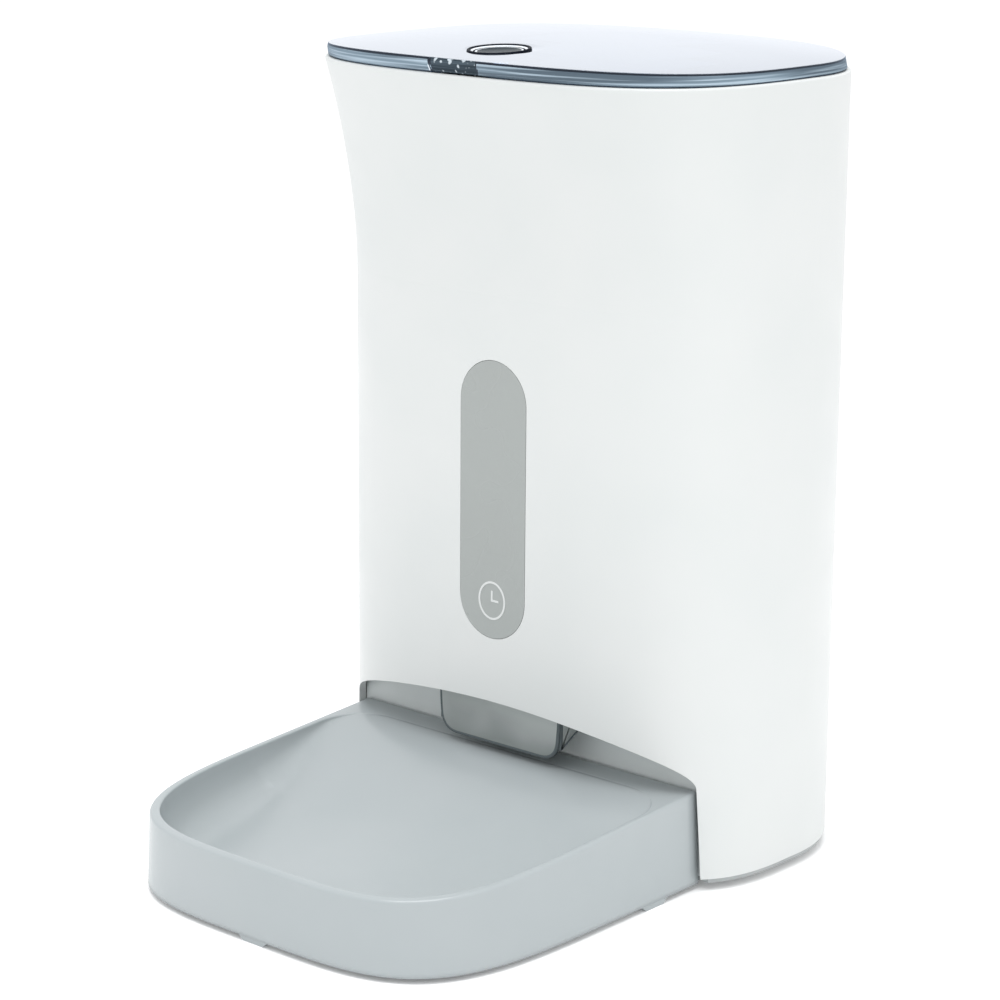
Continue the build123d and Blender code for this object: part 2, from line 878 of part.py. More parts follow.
motor_shaft_radius = 2.0
gearbox_radius = 13.0
with BuildPart() as motor_pinion:
    with BuildSketch(Plane.XY.offset(gear_z - 0.5)):
        with BuildLine():
            Polyline(*gear_outline(motor_place, pinion_teeth, gear_module), close=True)
        make_face()
    extrude(amount=gear_thickness + 1)
    add(rod(motor_place, motor_shaft_radius, gear_z - 2, gear_z + 12), mode=Mode.SUBTRACT)
finish(motor_pinion.part, "motor_pinion")

with BuildPart() as motor_shaft:
    add(rod(motor_place, motor_shaft_radius, bracket_z - 2.0, gear_z + gear_thickness + 1.5))
finish(motor_shaft.part, "motor_shaft")

motor_screw_places = tuple((motor_place[0] + side * 9.6, motor_place[1]) for side in (-1, 1))
with BuildPart() as gear_motor:
    add(rod(motor_place, gearbox_radius, 68, bracket_z))
    add(rod(motor_place, 11.0, 49, 68))
    add(rod(motor_place, 4.0, 47.4, 49))
    add(
        rod(motor_place, motor_shaft_radius + running_gap, bracket_z - 2.3, bracket_z + 1),
        mode=Mode.SUBTRACT,
    )
    for place in motor_screw_places:
        add(rod(place, 1.2, bracket_z - 5, bracket_z + 1), mode=Mode.SUBTRACT)
finish(gear_motor.part, "gear_motor")

post_places = ((-32, 60), (32, 60), (-32, 98), (32, 98))
with BuildPart() as motor_bracket:
    with BuildSketch(Plane.XY.offset(bracket_z)):
        with Locations((0, 86)):
            RectangleRounded(76, 60, 6)
    extrude(amount=bracket_thickness)
    for place in post_places:
        add(rod(place, 3.5, bracket_z + bracket_thickness, pan_floor_z))
    add(rod(pan_place, shaft_radius + running_gap, bracket_z - 1, bracket_z + 4), mode=Mode.SUBTRACT)
    add(rod(motor_place, 4.0, bracket_z - 1, bracket_z + 4), mode=Mode.SUBTRACT)
    for place in motor_screw_places:
        add(rod(place, 1.2, bracket_z - 1, bracket_z + 4), mode=Mode.SUBTRACT)
finish(motor_bracket.part, "motor_bracket")

with BuildPart() as motor_screws:
    for place in motor_screw_places:
        add(rod(place, 1.2, bracket_z - 4, bracket_z + bracket_thickness))
        add(rod(place, 2.3, bracket_z + bracket_thickness, bracket_z + bracket_thickness + 1.5))
finish(motor_screws.part, "motor_screws")

# ---------------------------------------------------------------- electronics
control_z = bay_bottom + 6
with BuildPart() as control_board:
    add(box_between((60, 50, control_z), (83, 110, control_z + 1.6)))
    add(box_between((64, 62, control_z + 1.6), (74, 72, control_z + 3.2)))
    add(box_between((63, 92, control_z + 1.6), (79, 99, control_z + 8)))
    add(rod((76, 82), 4.5, control_z + 1.6, control_z + 10))
finish(control_board.part, "control_board")

socket_front_y = 124.0
socket_face_y = body_centre_y + body_half_depth - 0.4
with BuildPart() as power_socket:
    with BuildSketch(Plane.XZ.offset(-socket_front_y)):
        with Locations((0, socket_z)):
            RectangleRounded(2 * socket_half_width, 2 * socket_half_height, 1.5)
    extrude(amount=-(socket_face_y - socket_front_y))
    with BuildSketch(Plane.XZ.offset(-socket_face_y)):
        with Locations((0, socket_z)):
            SlotOverall(9.2, 3.4)
    extrude(amount=6.5, mode=Mode.SUBTRACT)
    with BuildSketch(Plane.XZ.offset(-socket_face_y + 6.5)):
        with Locations((0, socket_z)):
            Rectangle(6.6, 0.7)
    extrude(amount=-5.0)
finish(power_socket.part, "power_socket")

socket_board_top = socket_z - socket_half_height
with BuildPart() as socket_board:
    add(box_between((-12, 114, socket_board_top - 1.6), (12, 135.5, socket_board_top)))
finish(socket_board.part, "socket_board")

# ---------------------------------------------------------------- lid
lid_block = dome_block(lid_bottom, 0.0, lid_edge_inset, lid_top_inset)
lid_hollow_inset = lid_edge_inset + lid_skirt
lid_hollow = dome_block(lid_bottom - 12, lid_plate, lid_hollow_inset, lid_hollow_inset)
knuckle_top = lid_underside + 1

with BuildPart() as lid:
    add(lid_block)
    lid_rims = lid.edges().filter_by(lambda edge: abs(edge.center().Z - lid_edge_top) < 0.05)
    fillet(lid_rims, lid_edge_radius)
    add(lid_hollow, mode=Mode.SUBTRACT)
    add(rod((0, button_y), bezel_radius, lid_underside - 1, lid_peak + 1), mode=Mode.SUBTRACT)
    # knuckle on a web under the back edge
    with BuildSketch(Plane.YZ.offset(-lid_knuckle_half)):
        with Locations((hinge_y, hinge_z)):
            Circle(hinge_radius)
        with Locations((hinge_y - 0.6, (hinge_z + knuckle_top) / 2)):
            Rectangle(3.6, knuckle_top - hinge_z)
    extrude(amount=2 * lid_knuckle_half)
    with BuildSketch(Plane.YZ.offset(-lid_knuckle_half - 1)):
        with Locations((hinge_y, hinge_z)):
            Circle(hinge_pin_radius + running_gap)
    extrude(amount=2 * lid_knuckle_half + 2, mode=Mode.SUBTRACT)
finish(lid.part, "lid")

seal_outer = body_block(325.0, lid_edge_top, frame_inner_inset + 0.8)
seal_inner = body_block(324.0, lid_edge_top + 1, frame_inner_inset + 3.0)
with BuildPart() as lid_seal:
    add(seal_outer)
    add(seal_inner, mode=Mode.SUBTRACT)
    add(lid_hollow, mode=Mode.INTERSECT)
    add(
        box_between(
            (-latch_half_width - 0.5, -60, 320),
            (latch_half_width + 0.5, body_centre_y, lid_peak),
        ),
        mode=Mode.SUBTRACT,
    )
    # clear of the screws in the frame below
    for angle in frame_screw_angles:
        place = body_place(angle, frame_screw_inset, hopper_top)
        head_radius = screw_head_radius + running_gap
        head_room = rod(place, head_radius, frame_top - 2, frame_top + running_gap)
        add(head_room, mode=Mode.SUBTRACT)
finish(lid_seal.part, "lid_seal")

bezel_bottom = lid_underside + 0.6
with BuildPart() as button_bezel:
    add(rod((0, button_y), bezel_radius, bezel_bottom, lid_peak + 1))
    add(lid_block, mode=Mode.INTERSECT)
    bezel_bore = rod((0, button_y), bezel_radius - bezel_width, bezel_bottom - 1, lid_peak + 2)
    add(bezel_bore, mode=Mode.SUBTRACT)
finish(button_bezel.part, "button_bezel")

tray_bottom = 321.3
tray_floor = 1.3
tray_back_y = button_y + 16.3
tray_wall = 1.2
hook_front_y = keeper_front_y + 0.4
hook_back_y = hook_front_y + 3.4
cover_front_y = hook_front_y - 8.164259
with BuildPart() as latch_cover:
    for side in (-1, 1):
        outer_x = side * latch_half_width
        inner_x = side * (latch_half_width - tray_wall)
        with BuildSketch(Plane.YZ.offset(min(outer_x, inner_x))):
            with BuildLine():
                Polyline(
                    (cover_front_y, lid_peak),
                    (cover_front_y, lid_bottom - 0.3),
                    (hook_front_y + 1.5, lid_bottom - 0.3),
                    (hook_front_y + 3.0, tray_bottom),
                    (tray_back_y, tray_bottom),
                    (tray_back_y, lid_peak),
                    close=True,
                )
            make_face()
        extrude(amount=tray_wall)
    add(
        box_between(
            (-latch_half_width, hook_back_y + button_travel + 0.6, tray_bottom),
            (latch_half_width, tray_back_y, tray_bottom + tray_floor),
        )
    )
    add(
        box_between(
            (-latch_half_width, tray_back_y - tray_wall, tray_bottom),
            (latch_half_width, tray_back_y, lid_peak),
        )
    )
    add(
        box_between(
            (-latch_half_width, cover_front_y, lid_bottom - 0.3),
            (latch_half_width, hook_front_y - 0.5, lid_bottom + 0.9),
        )
    )
    # closed above by the lid's plate, and clear of the bezel
    add(lid_hollow, mode=Mode.INTERSECT)
    bezel_room = rod((0, button_y), bezel_radius + fit_gap, bezel_bottom - fit_gap, lid_peak)
    add(bezel_room, mode=Mode.SUBTRACT)
finish(latch_cover.part, "latch_cover")

latch_bottom = 326.2
latch_top = 328.2
latch_back_y = tray_back_y - tray_wall - 6.5

# button with a wedge that draws the latch back as it is pressed
stem_front_y = button_y - 4.0
stem_back_y = button_y + 2.0
stem_bottom = 325.9
button_bottom = latch_top + button_travel + 0.6
sunk_block = dome_block(lid_bottom, button_sunk, lid_edge_inset, lid_top_inset)
with BuildPart() as lid_button:
    add(rod((0, button_y), button_radius, button_bottom, lid_peak))
    add(sunk_block, mode=Mode.INTERSECT)
    with BuildSketch(Plane.YZ.offset(-4)):
        with BuildLine():
            Polyline(
                (stem_front_y, button_bottom + 0.5),
                (stem_front_y, stem_bottom),
                (stem_back_y - 3.0, stem_bottom),
                (stem_back_y, stem_bottom + 3.0),
                (stem_back_y, button_bottom + 0.5),
                close=True,
            )
        make_face()
    extrude(amount=8)
finish(lid_button.part, "lid_button")

wedge_gap = 0.42
ramp_low_y = stem_back_y - 3.0 + (latch_bottom - stem_bottom) + wedge_gap
ramp_high_y = stem_back_y - 3.0 + (latch_top - stem_bottom) + wedge_gap
with BuildPart() as latch_slider:
    add(box_between((-8, hook_front_y + 0.6, latch_bottom), (8, latch_back_y, latch_top)))
    with BuildSketch(Plane.YZ.offset(-4.5)):
        with BuildLine():
            Polyline(
                (stem_front_y - button_travel - 0.5, latch_bottom - 1),
                (ramp_low_y - 1, latch_bottom - 1),
                (ramp_high_y + 1, latch_top + 1),
                (stem_front_y - button_travel - 0.5, latch_top + 1),
                close=True,
            )
        make_face()
    extrude(amount=9, mode=Mode.SUBTRACT)
    # hook that reaches down in front of the keeper
    add(box_between((-7, hook_front_y + 0.6, keeper_z - 1.2), (7, hook_back_y, latch_bottom + 1)))
    add(box_between((-7, hook_front_y, keeper_z - 1.2), (7, hook_back_y, keeper_z + 1.2)))
finish(latch_slider.part, "latch_slider")

latch_spring_height = 3.6
latch_spring_wire = 0.35
with BuildPart() as latch_spring:
    spring_room = latch_spring_height + latch_spring_wire / 2 + slide_gap / 2
    spring_front_y = tray_back_y - tray_wall - spring_room
    spring_seat = Plane(origin=(0, spring_front_y, 327.2), z_dir=(0, 1, 0))
    add(spring_seat * coil(1.4, 0.75, latch_spring_height, latch_spring_wire))
finish(latch_spring.part, "latch_spring")

# ---------------------------------------------------------------- desiccant holder under the lid
holder_low = 318.0
holder_roof = 331.3
holder = ((-32, 52, holder_low), (32, 106, lid_peak))
with BuildPart() as desiccant_box:
    add(box_between(*holder))
    add(lid_hollow, mode=Mode.INTERSECT)
    add(
        box_between(
            (holder[0][0] + 1.6, holder[0][1] + 1.6, holder_low - 1),
            (holder[1][0] - 1.6, holder[1][1] - 1.6, holder_roof),
        ),
        mode=Mode.SUBTRACT,
    )
finish(desiccant_box.part, "desiccant_box")

with BuildPart() as desiccant_cover:
    add(box_between((-32, 52, holder_low - 1.6), (32, 106, holder_low)))
    with BuildSketch(Plane.XY.offset(holder_low - 2)):
        with Locations((0, 79)):
            with GridLocations(0, 11.0, 1, 4):
                SlotOverall(46, 5.6)
    extrude(amount=3, mode=Mode.SUBTRACT)
finish(desiccant_cover.part, "desiccant_cover")


# ---------------------------------------------------------------- bowl
def bowl_face(height, inset, rear_y, rear_corner=0.0):
    """Bowl outline: a squarish rounded front, straight sides and a straight rear edge."""
    half = bowl_half_width - inset
    reach = bowl_front_length - inset
    middle_y = bowl_front_y + bowl_front_length
    points = []
    for step in range(17):
        x, y = superellipse(-math.pi * step / 16, half, reach, bowl_power)
        points.append((x, middle_y + y))
    with BuildSketch(Plane.XY.offset(height)) as outline:
        with BuildLine():
            Spline(*points, tangents=((0, -1), (0, 1)))
            Polyline((-half, middle_y), (-half, rear_y), (half, rear_y), (half, middle_y))
        make_face()
        if rear_corner > 0:
            fillet(outline.vertices().group_by(Axis.Y)[-1], rear_corner)
    return outline.sketch


def bowl_block(low, high, inset, top_inset, rear_y, rear_corner=0.0):
    """Drafted solid between two bowl outlines."""
    with BuildPart() as block:
        loft(
            [
                bowl_face(low, inset, rear_y, rear_corner),
                bowl_face(high, top_inset, rear_y, rear_corner),
            ],
            ruled=True,
        )
    return block.part


def rim_height(y):
    """Height of the sloping rim plane."""
    return bowl_rear_rim - bowl_rim_slope * (recess_wall_y - y)


def basin_height(y):
    """Height of the basin's floor: a ramp that leaves the rear edge level and settles in front."""
    run = (basin_rear_y - y) / basin_run
    return rim_height(y) - basin_depth * (1 - math.exp(-run * abs(run)))


def basin_block(grow):
    """The basin's space, grown all round by grow: a drafted well above the ramp."""
    well = bowl_block(
        basin_low - grow,
        basin_high,
        basin_floor_inset - grow,
        basin_rim_inset - grow,
        basin_rear_y + grow,
        basin_rear_corner + grow,
    )
    front_y = bowl_front_y - 2.0
    back_y = basin_rear_y + grow + 1.0
    ramp_points = []
    for step in range(13):
        y = back_y + (front_y - back_y) * step / 12
        ramp_points.append((y, basin_height(min(y, basin_rear_y)) - grow))
    with BuildPart() as above_ramp:
        with BuildSketch(Plane.YZ.offset(-body_half_width)):
            with BuildLine():
                Spline(*ramp_points)
                Polyline(ramp_points[0], (back_y, 80), (front_y, 80), ramp_points[-1])
            make_face()
        extrude(amount=2 * body_half_width)
    with BuildPart() as block:
        add(well)
        add(above_ramp.part, mode=Mode.INTERSECT)
    return block.part


def above_rim(drop):
    """Everything above the sloping rim, lowered by drop."""
    far = 20.0
    with BuildPart() as wedge:
        with BuildSketch(Plane.YZ.offset(-body_half_width)):
            with BuildLine():
                Polyline(
                    (bowl_front_y - far, rim_height(bowl_front_y - far) - drop),
                    (recess_wall_y + far, rim_height(recess_wall_y + far) - drop),
                    (recess_wall_y + far, 80),
                    (bowl_front_y - far, 80),
                    close=True,
                )
            make_face()
        extrude(amount=2 * body_half_width)
    return wedge.part


bowl_lean = bowl_draft * 1.1
bowl_outer = bowl_block(bowl_bottom, basin_high, 0.0, bowl_lean, bowl_rear_y)
bowl_inside = bowl_block(
    bowl_bottom - 1, basin_high - 1, bowl_wall, bowl_wall + bowl_lean, bowl_rear_y - bowl_wall
)
rim_cutter = above_rim(0.0)
ceiling_cutter = above_rim(bowl_wall)
basin = basin_block(0.0)
basin_grown = basin_block(bowl_wall)

with BuildPart() as bowl_hollow:
    add(bowl_inside)
    add(ceiling_cutter, mode=Mode.SUBTRACT)
    add(basin_grown, mode=Mode.SUBTRACT)

with BuildPart() as bowl:
    add(bowl_outer)
    add(rim_cutter, mode=Mode.SUBTRACT)
    add(basin, mode=Mode.SUBTRACT)
    add(bowl_hollow.part, mode=Mode.SUBTRACT)
finish(bowl.part, "bowl")

def bowl_foot(place, turn):
    """A foot pad with sloping ends; its length lies along the turned X axis."""
    seat = Plane(origin=(place[0], place[1], 0), x_dir=turn, z_dir=(turn[1], -turn[0], 0))
    with BuildPart() as foot:
        with BuildSketch(seat.offset(-foot_pad_depth / 2)):
            with BuildLine():
                Polyline(
                    (-foot_pad_half + 2.5, 0),
                    (foot_pad_half - 2.5, 0),
                    (foot_pad_half, bowl_bottom),
                    (-foot_pad_half, bowl_bottom),
                    close=True,
                )
            make_face()
        extrude(amount=foot_pad_depth)
    return foot.part


foot_pad_half = 8.0
foot_pad_depth = 2.4
with BuildPart() as bowl_feet:
    add(bowl_foot((0, bowl_front_y + 1.8), (1, 0, 0)))
    for side in (-1, 1):
        add(bowl_foot((side * (bowl_half_width - 1.5), -5.0), (0, side, 0)))
finish(bowl_feet.part, "bowl_feet")
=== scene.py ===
# %% [markdown]
# # An automatic pet feeder
# The feeder is a tall white body with a smoky lid, a grey touch panel, an arched opening
# with a smoky scoop in it, and a pale grey bowl that slides out of the front.
# The construction model gives every piece at its real size. This lesson loads it as a fixed
# frame, gives each piece its finish, and replaces the pieces whose curves show most.

import bpy
import numpy as np
from mathutils import Matrix, Vector


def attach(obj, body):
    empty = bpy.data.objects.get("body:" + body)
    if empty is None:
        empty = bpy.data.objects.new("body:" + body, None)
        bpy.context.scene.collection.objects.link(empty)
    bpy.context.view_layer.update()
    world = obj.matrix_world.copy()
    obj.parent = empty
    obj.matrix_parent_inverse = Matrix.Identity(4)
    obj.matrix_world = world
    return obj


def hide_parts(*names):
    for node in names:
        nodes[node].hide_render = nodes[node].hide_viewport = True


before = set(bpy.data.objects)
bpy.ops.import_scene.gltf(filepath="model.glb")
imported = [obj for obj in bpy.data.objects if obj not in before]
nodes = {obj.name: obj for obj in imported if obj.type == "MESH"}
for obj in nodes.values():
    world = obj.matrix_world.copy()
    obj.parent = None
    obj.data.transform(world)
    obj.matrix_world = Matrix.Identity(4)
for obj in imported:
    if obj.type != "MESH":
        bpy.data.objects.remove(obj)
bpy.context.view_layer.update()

MM = 0.001

# %% [markdown]
# ## Helpers for finishes
# A finish is a small graph of shader nodes. One function adds a node, sets its properties
# and either fills or links its inputs, so that a whole material reads as a short list.
# Colours are written as the sRGB hex values that a colour chart gives, and one function
# turns them into the linear values that the renderer works in.

# %% Colour and node helpers


def linear(code, alpha=1.0):
    """Linear RGBA of an sRGB hex colour: ((c + 0.055) / 1.055) ** 2.4 above the toe."""
    srgb = np.array([int(code[i : i + 2], 16) for i in (1, 3, 5)]) / 255
    low = srgb / 12.92
    high = ((srgb + 0.055) / 1.055) ** 2.4
    return (*np.where(srgb <= 0.04045, low, high).tolist(), alpha)


def add_node(tree, kind, inputs=None, **settings):
    """Add one shader node; an input that is a socket is linked, any other is a value."""
    made = tree.nodes.new(kind)
    for name, value in settings.items():
        setattr(made, name, value)
    for name, value in (inputs or {}).items():
        if isinstance(value, bpy.types.NodeSocket):
            tree.links.new(value, made.inputs[name])
        else:
            made.inputs[name].default_value = value
    return made


def new_material(name):
    """An empty node material with an output; returns the material, its tree and output."""
    material = bpy.data.materials.new(name)
    material.use_nodes = True
    tree = material.node_tree
    tree.nodes.clear()
    return material, tree, tree.nodes.new("ShaderNodeOutputMaterial")


def object_points(tree, scale_mm, stretch=(1, 1, 1)):
    """Object coordinates scaled so that one unit of a pattern is scale_mm long."""
    place = add_node(tree, "ShaderNodeTexCoord").outputs["Object"]
    size = [s / (scale_mm * MM) for s in stretch]
    return add_node(tree, "ShaderNodeMapping", {"Vector": place, "Scale": size}).outputs[0]


def noise(tree, scale_mm, detail=3.0, stretch=(1, 1, 1)):
    """Smooth noise whose blobs are about scale_mm across."""
    points = object_points(tree, scale_mm, stretch)
    settings = {"Vector": points, "Scale": 1.0, "Detail": detail, "Roughness": 0.55}
    return add_node(tree, "ShaderNodeTexNoise", settings).outputs["Fac"]


def spread(tree, value, low, high, start=0.3, end=0.7):
    """Map a noise value between start and end onto the range low to high."""
    settings = {
        "Value": value,
        "From Min": start,
        "From Max": end,
        "To Min": low,
        "To Max": high,
    }
    return add_node(tree, "ShaderNodeMapRange", settings).outputs[0]


def tint(tree, value, first, second):
    """Mix two colours, each a constant or a socket, by a value."""
    inputs = {"Factor": value, 6: first, 7: second}
    return add_node(tree, "ShaderNodeMix", inputs, data_type="RGBA").outputs[2]


def arithmetic(tree, operation, first, second, clamp=False):
    """One step of arithmetic on two values."""
    settings = {"operation": operation, "use_clamp": clamp}
    return add_node(tree, "ShaderNodeMath", {0: first, 1: second}, **settings).outputs[0]


def blend(tree, share, under, over):
    """Lay one shader over another, by the upper one's share."""
    return add_node(tree, "ShaderNodeMixShader", {0: share, 1: under, 2: over}).outputs[0]


def bump(tree, height, depth_mm):
    """Surface relief of depth_mm from a height value between 0 and 1."""
    inputs = {"Height": height, "Distance": depth_mm * MM, "Strength": 1.0}
    return add_node(tree, "ShaderNodeBump", inputs).outputs[0]


# %% [markdown]
# ## Moulded plastics
# Nearly everything is injection moulded. ABS comes out of a spark-eroded steel mould with a
# fine even grain, so it shines softly, and the colour is in the plastic itself. The grain
# is about 0.3 mm on the real part, and it is drawn at 0.6 mm so that it still shows. A slow
# change of colour and of gloss keeps the big walls from looking like flat paint.

# %% Opaque moulded plastic


TONE_CLOUD_MM, GLOSS_CLOUD_MM = 60.0, 30.0


def moulded(
    name,
    colour,
    shade,
    roughness,
    grain_mm,
    grain_depth_mm,
    sheen=0.5,
    ior=1.53,
    uneven=0.045,
):
    """Opaque moulded plastic: two close tones, uneven gloss and a fine mould grain."""
    material, tree, output = new_material(name)
    cloud = noise(tree, TONE_CLOUD_MM, 2.0)
    grain = noise(tree, grain_mm, 1.0)
    colours = tint(tree, spread(tree, cloud, 0.0, 1.0), linear(colour), linear(shade))
    gloss_cloud = noise(tree, GLOSS_CLOUD_MM, 1.0)
    gloss = spread(tree, gloss_cloud, roughness - uneven, roughness + uneven)
    inputs = {
        "Base Color": colours,
        "Roughness": gloss,
        "IOR": ior,
        "Specular IOR Level": sheen,
        "Normal": bump(tree, grain, grain_depth_mm),
    }
    surface = add_node(tree, "ShaderNodeBsdfPrincipled", inputs)
    tree.links.new(surface.outputs[0], output.inputs[0])
    return material


white_abs = moulded("White_satin_ABS", "#D1D3D2", "#CED1D0", 0.36, 0.6, 0.004)
base_abs = moulded("Grey_textured_ABS", "#A7ABAB", "#9DA2A2", 0.48, 0.7, 0.02)
# the recess panel is drawn lighter than the shell's white: painted fill light for its
# shaded hollow
recess_abs_painted_fill = moulded("Recess_ABS_painted_fill", "#DADFDE", "#D4D9D9", 0.42, 0.7, 0.006)
panel_abs = moulded("Panel_grey_acrylic", "#9BA09E", "#999D9B", 0.28, 1.0, 0.002)
bowl_abs = moulded("Bowl_grey_ABS", "#A6ACAE", "#A2A9AB", 0.24, 0.8, 0.0, uneven=0.015)
dark_abs = moulded("Charcoal_ABS", "#24282B", "#1C2022", 0.40, 0.7, 0.015)
ring_black = moulded("Satin_black_ABS", "#171B24", "#12161E", 0.35, 2.0, 0.0, 0.05, 1.2)
button_smoke = moulded(
    "Polished_smoke_SAN", "#2C363C", "#20292F", 0.22, 2.0, 0.0, 0.12, 1.3
)
# a painted highlight: the bright crescents round the ring's and the button's crowns
painted_glint_rim = moulded("Painted_glint_rim_SAN", "#E4E9EE", "#DDE3E9", 0.10, 2.0, 0.0)
print("opaque plastics:", [m.name for m in (white_abs, base_abs, recess_abs_painted_fill, bowl_abs)])

# %% [markdown]
# ## Smoky and frosted plastics
# The lid and the scoop are a clear plastic tinted grey-blue. Two things make its look. Seen
# almost edge-on, both faces of the plate mirror the bright surroundings, so it goes nearly
# white: Fresnel's law gives one face a share R, and the pair of faces 2R / (1 + R). Seen
# square-on, the tint shows and what lies behind dims. The pattern in the body is painted
# refraction and highlight: it stands for the refractions of ribs and edges, which lie in
# long streaks round the rim.

# %% Transparent moulded plastic


PLASTIC_INDEX = 1.5
CLOUD_MM, WIDE_STREAK_MM, FINE_STREAK_MM, GLINT_MM = 22.0, 3.2, 1.1, 2.4


def both_faces(tree, index):
    """Share of light that a clear plate mirrors, counting its front and back faces."""
    single = add_node(tree, "ShaderNodeFresnel", {"IOR": index}).outputs[0]
    double = arithmetic(tree, "MULTIPLY", single, 2.0)
    return arithmetic(tree, "DIVIDE", double, arithmetic(tree, "ADD", single, 1.0))


def painted_low_shade(tree, body, lower):
    """The body's colour, clouded, and darkening into lower's colour, a painted shade,
    between its heights.
    """
    shade_colour, start_mm, end_mm = lower
    place = add_node(tree, "ShaderNodeTexCoord").outputs["Object"]
    height = add_node(tree, "ShaderNodeSeparateXYZ", {0: place}).outputs["Z"]
    shade_share = spread(tree, height, 0.0, 1.0, start_mm * MM, end_mm * MM)
    cloud = spread(tree, noise(tree, CLOUD_MM, 1.0), -0.15, 0.15, 0.35, 0.65)
    share = arithmetic(tree, "ADD", shade_share, cloud, clamp=True)
    return tint(tree, share, linear(shade_colour), linear(body))


def painted_refraction_streaks(tree, body, streaks):
    """The body's colour with long bands of two others, painted refraction and highlight,
    which lie flat along the rim.
    """
    wide = noise(tree, WIDE_STREAK_MM, 1.0, (0.03, 0.03, 1.0))
    fine = noise(tree, FINE_STREAK_MM, 2.0, (0.012, 0.012, 1.0))
    bands = spread(tree, wide, 0.0, 1.0, 0.42, 0.55)
    first = tint(tree, bands, linear(body), linear(streaks[0]))
    return tint(tree, spread(tree, fine, 0.0, 1.0, 0.5, 0.66), first, linear(streaks[1]))


def clear_plastic(
    name,
    body,
    through,
    cover,
    gloss="#F6F9FF",
    roughness=0.05,
    streaks=None,
    painted_glints=None,
    lower=None,
    lacquer=0.0,
):
    """Tinted clear plastic: mirrors by Fresnel, else part body and part see-through.

    streaks are a second and a third colour that run in long bands along the rim, painted
    refractions and highlights; flecks are painted glints, sparks of light from small
    facets; and lower is a colour of painted shade that the body takes on towards its lower
    edge, with the heights where that ends and starts. through tints what is seen behind,
    and cover is the body's share. A hard lacquer mirrors more of what is left, the more so
    the flatter the plate is seen.
    """
    material, tree, output = new_material(name)
    if lower is not None:
        colour = painted_low_shade(tree, body, lower)
    elif streaks is not None:
        colour = painted_refraction_streaks(tree, body, streaks)
    else:
        colour = linear(body)
    # painted glints: small sparks of light painted into the colour
    if painted_glints is not None:
        facets = spread(tree, noise(tree, GLINT_MM, 1.0), 0.0, 1.0, 0.62, 0.68)
        colour = tint(tree, facets, colour, linear(painted_glints))
    solid = add_node(tree, "ShaderNodeBsdfDiffuse", {"Color": colour}).outputs[0]
    tinted = {"Color": linear(through)}
    clear = add_node(tree, "ShaderNodeBsdfTransparent", tinted).outputs[0]
    shine = {"Color": linear(gloss), "Roughness": roughness}
    mirror = add_node(tree, "ShaderNodeBsdfAnisotropic", shine).outputs[0]
    inside = blend(tree, cover, clear, solid)
    surface = blend(tree, both_faces(tree, PLASTIC_INDEX), inside, mirror)
    if lacquer:
        flat = add_node(tree, "ShaderNodeLayerWeight", {"Blend": 0.5}).outputs["Facing"]
        grazing = arithmetic(tree, "POWER", flat, 4.0)
        amount = arithmetic(tree, "MULTIPLY", grazing, lacquer)
        surface = blend(tree, amount, surface, mirror)
    tree.links.new(surface, output.inputs[0])
    return material


lid_glass = clear_plastic("Smoky_blue_SAN", "#C3CEDA", "#A9B6C4", 0.35, lacquer=1.0)
# the skirt band's streaks are painted refractions and highlights
rim_glass = clear_plastic(
    "Smoky_rim_SAN",
    "#55636E",
    "#8595A2",
    0.9,
    gloss="#8C98A4",
    streaks=("#7E909D", "#B9CBD8"),
)
# the latch's light flecks are painted glints
latch_glass = clear_plastic(
    "Smoky_latch_SAN",
    "#2B343A",
    "#7F8B94",
    0.92,
    gloss="#5A6470",
    streaks=("#343E45", "#515D66"),
    painted_glints="#C9D3DA",
)
# a painted highlight: the thin bright line beside the latch
painted_highlight_glass = clear_plastic("Smoky_painted_highlight_SAN", "#DCE5EE", "#E6ECF2", 0.95)
# painted shade where the lid's rim turns down and at the skirt's edges, and dark joints by
# the latch
shade_and_joint_glass = clear_plastic("Smoky_shade_and_joint_SAN", "#141922", "#2A323C", 0.95, gloss="#97A4B4")
# the scoop's lower colour is painted shade: the scoop darkens towards its lower edge
scoop_glass = clear_plastic(
    "Smoky_scoop_SAN", "#DDE2DF", "#DDE0DD", 0.6, lower=("#9CA29F", 46.0, 66.0)
)
# painted shade: the dark border and rim of the scoop's clear walls
scoop_painted_edge_shade = clear_plastic("Scoop_painted_edge_shade_SAN", "#5A6163", "#6A7073", 0.92, gloss="#A9AFB2")
frosted_bin = clear_plastic(
    "Frosted_polypropylene", "#E3E8EC", "#E6ECF2", 0.75, roughness=0.35
)

# %% [markdown]
# ## Metals, rubber and boards
# The working parts are stamped or turned steel with faint brushing, oil-filled bronze,
# black rubber and silicone, and green circuit boards under a glossy lacquer.

# %% Metals, rubber and boards


def metal(name, colour, roughness, stretch):
    """Bare metal whose gloss is streaked along one direction by brushing or turning."""
    material, tree, output = new_material(name)
    streak = noise(tree, 1.2, 3.0, stretch)
    inputs = {
        "Base Color": linear(colour),
        "Metallic": 1.0,
        "Roughness": spread(tree, streak, roughness - 0.08, roughness + 0.1),
        "Normal": bump(tree, streak, 0.008),
    }
    surface = add_node(tree, "ShaderNodeBsdfPrincipled", inputs)
    tree.links.new(surface.outputs[0], output.inputs[0])
    return material


